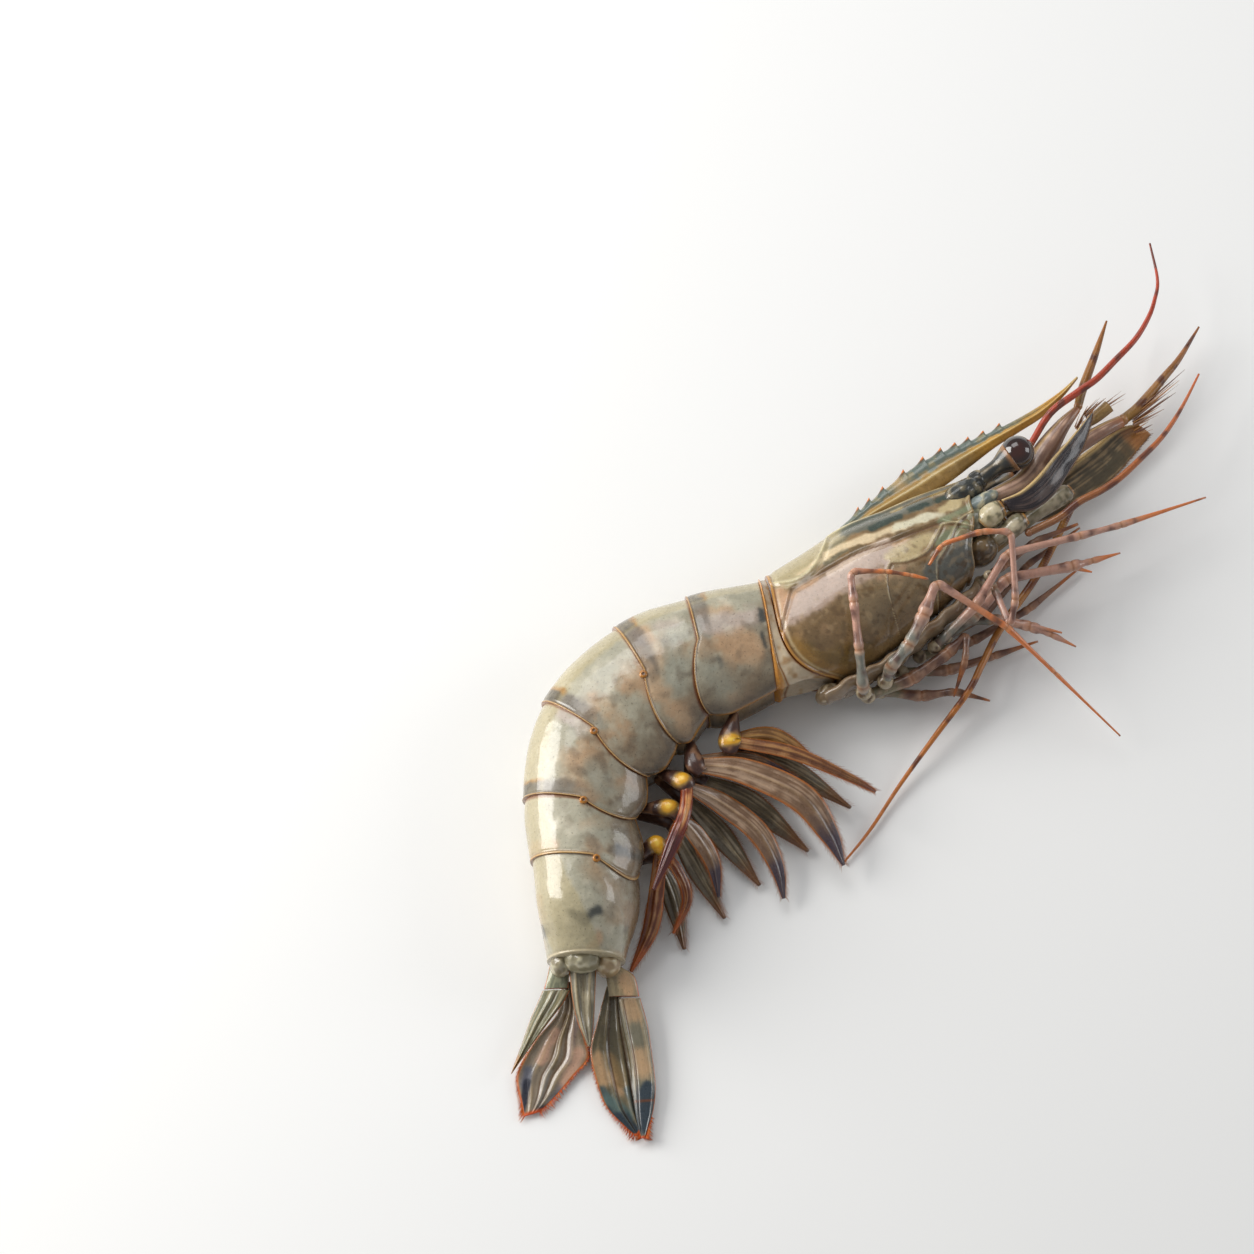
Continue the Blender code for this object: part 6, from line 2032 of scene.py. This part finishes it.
    def build(self) -> None:
        """Build every piece of the fan."""
        dice = random.Random(5)
        for name, pairs in self.blades.items():
            thick = self.thick_root if name == "telson" or "root" in name else self.thick_blade
            reach = self.fringes[name][2] if name in self.fringes else 1.0
            ribs, grooves = self.ribs.get(name, ()), self.grooves.get(name, ())
            blade = Blade(pairs, tail_point, thick, ribs, grooves, reach)
            self.leaf(name, blade)
            if name in self.fringes:
                self.fringe(name, blade, dice)

    def leaf(self, name: str, blade: Blade) -> None:
        """Build one leaf with its paint."""
        first, second = self.grounds[name]

        def paint(u: float, v: float, point: Vector) -> Paint:
            """Paint of one point of the leaf."""
            behind, across = tail_place(point)
            behind += 0.8 * ripple(point, 3.0, 3.0)
            across += 0.4 * ripple(point, 2.5, 6.0)
            share = blade.across(v)
            streak = noise.noise(Vector((u * 2.5, share * 9.0, 1.0))) + 0.4 * ripple(point, 2.4)
            coat = Paint(first).lay(second, step(streak, -0.2, 0.4))
            for layer in self.coats.get(name, ()):
                layer.lay(coat, behind, across, 0.15 * streak)
            # Pale along each raised rib: a painted highlight on the ridges.
            for rib in blade.ribs:
                coat.lay((0.70, 0.61, 0.45), 0.4 * hump(share, rib[0], rib[2] * 0.35))
            for cut in blade.grooves:
                coat.lay((0.34, 0.21, 0.10), (0.2 if name == "telson" else 0.7) * hump(share, cut[0], 0.02))
            if name == "fan_outer_right":
                coat.lay((0.50, 0.24, 0.10), 0.8 * hump(u, self.suture, 0.008))
            left, right = step(share, 0.05, 0.015), step(share, 0.95, 0.985)
            tip = step(u, 0.95, 0.99) if name in self.fringes else 0.0
            red = {"fan_outer_right": right, "fan_root_right": right, "fan_outer_left": 0.5 * left + right,
                   "telson": 0.7 * (left + right)}.get(name, 0.8 * (left + right))
            coat.lay((0.72, 0.38, 0.15), red)
            return coat.lay((0.80, 0.32, 0.10), max(tip, red * step(u, 0.6, 0.9)))

        draft = Draft()
        draft.tube(blade.surface, 120, 110, paint)
        draft.piece(name, FAN_SKIN, [name])

    def fringe(self, name: str, blade: Blade, dice: random.Random) -> None:
        """Build the bristles round one blade's tip."""
        left_from, right_from, _ = self.fringes[name]
        draft = Draft()
        for across, start in ((0.0, left_from), (1.0, right_from)):
            count = int(150 * (1.0 - start)) + 20
            for i in range(count):
                u = start + (0.995 - start) * i / count
                root = blade.edge(u, across)
                ahead = (blade.edge(min(u + 0.01, 1.0), across) - blade.edge(u - 0.01, across)).normalized()
                out = (root - blade.edge(u, 0.5)).normalized()
                length = dice.uniform(0.5, 0.9) + 1.5 * step(u, 0.7, 1.0)
                tip = root + (out * 0.8 + ahead * dice.uniform(0.6, 1.2)).normalized() * length
                tip.y = max(tip.y, tail_point(self.reach, 0.0, 0.0).y)
                tip.z = max(tip.z + dice.uniform(-0.2, 0.2), 0.1)
                draft.bristle(root - out * 0.3, tip, self.bristle_width, dice.choice(self.bristle_colours))
        draft.piece(name + "_fringe", BRISTLE_SKIN)


@dataclass
class Studio:
    """Camera, soft lights and pale floor."""

    aim: Row = (-54.285, 16.256, 10.0)
    distance: float = 1200.0
    elevation: float = math.radians(70.0)
    lens: float = 146.6
    sensor: float = 36.0
    floor_size: float = 1.6
    sky: float = 0.3

    def build(self) -> None:
        """Set up the whole studio."""
        self.camera()
        self.light("left", (-0.69, 0.16, 0.33), 0.50, 0.55, 7.0, (1.0, 0.985, 0.96))
        self.light("back", (-0.22, 0.52, 0.62), 0.50, 0.40, 2.0, (1.0, 1.0, 1.0))
        self.light("right", (0.72, 0.14, 0.34), 0.32, 0.38, 1.3, (0.97, 0.985, 1.0))
        world = bpy.data.worlds.new("studio")
        world.use_nodes = True
        background = world.node_tree.nodes["Background"]
        background.inputs["Color"].default_value = (0.97, 0.98, 1.0, 1.0)
        background.inputs["Strength"].default_value = self.sky
        bpy.context.scene.world = world
        bpy.context.scene.view_settings.view_transform = "Standard"
        draft = Draft()
        bmesh.ops.create_grid(draft.bm, x_segments=2, y_segments=2, size=self.floor_size / MM)
        bmesh.ops.scale(draft.bm, vec=(MM, MM, MM), verts=draft.bm.verts)
        mesh = bpy.data.meshes.new("floor")
        draft.bm.to_mesh(mesh)
        draft.bm.free()
        mesh.materials.append(FloorFinish("floor_skin", coat=0.0, soft=0.0).material())
        floor = bpy.data.objects.new("floor", mesh)
        bpy.context.scene.collection.objects.link(floor)

    def camera(self) -> None:
        """Camera at the viewing angle, 1.2 m from the prawn."""
        data = bpy.data.cameras.new("camera")
        data.lens = self.lens
        data.sensor_width = self.sensor
        made = bpy.data.objects.new("camera", data)
        offset = Vector((0.0, -math.cos(self.elevation), math.sin(self.elevation))) * self.distance
        made.location = (plan_point(*self.aim) + offset) * MM
        made.rotation_euler = (math.pi / 2 - self.elevation, 0.0, 0.0)
        bpy.context.scene.collection.objects.link(made)
        bpy.context.scene.camera = made

    def light(self, name: str, place: Row, wide: float, high: float, power: float, colour: Colour) -> None:
        """Soft rectangular light that faces the prawn."""
        data = bpy.data.lights.new(name, "AREA")
        data.shape = "RECTANGLE"
        data.size, data.size_y = wide, high
        data.energy = power
        data.color = colour
        made = bpy.data.objects.new(name, data)
        made.location = place
        made.rotation_euler = (-Vector(place)).to_track_quat("-Z", "Y").to_euler()
        bpy.context.scene.collection.objects.link(made)


def main() -> None:
    """Build every sub-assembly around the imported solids."""
    logging.basicConfig(level=logging.INFO, format="%(message)s")
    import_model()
    Studio().build()
    abdomen, carapace = Abdomen(), Carapace()
    parts = (abdomen, carapace, Rostrum(), SoftSkins(abdomen, carapace), Eyes(), FaceSkin(), TailSkin(),
             Tufts(), Feelers(), Legs(), Swimmerets(abdomen), TailFan())
    for part in parts:
        LOG.info("building %s", type(part).__name__)
        part.build()


if __name__ == "__main__":
    main()
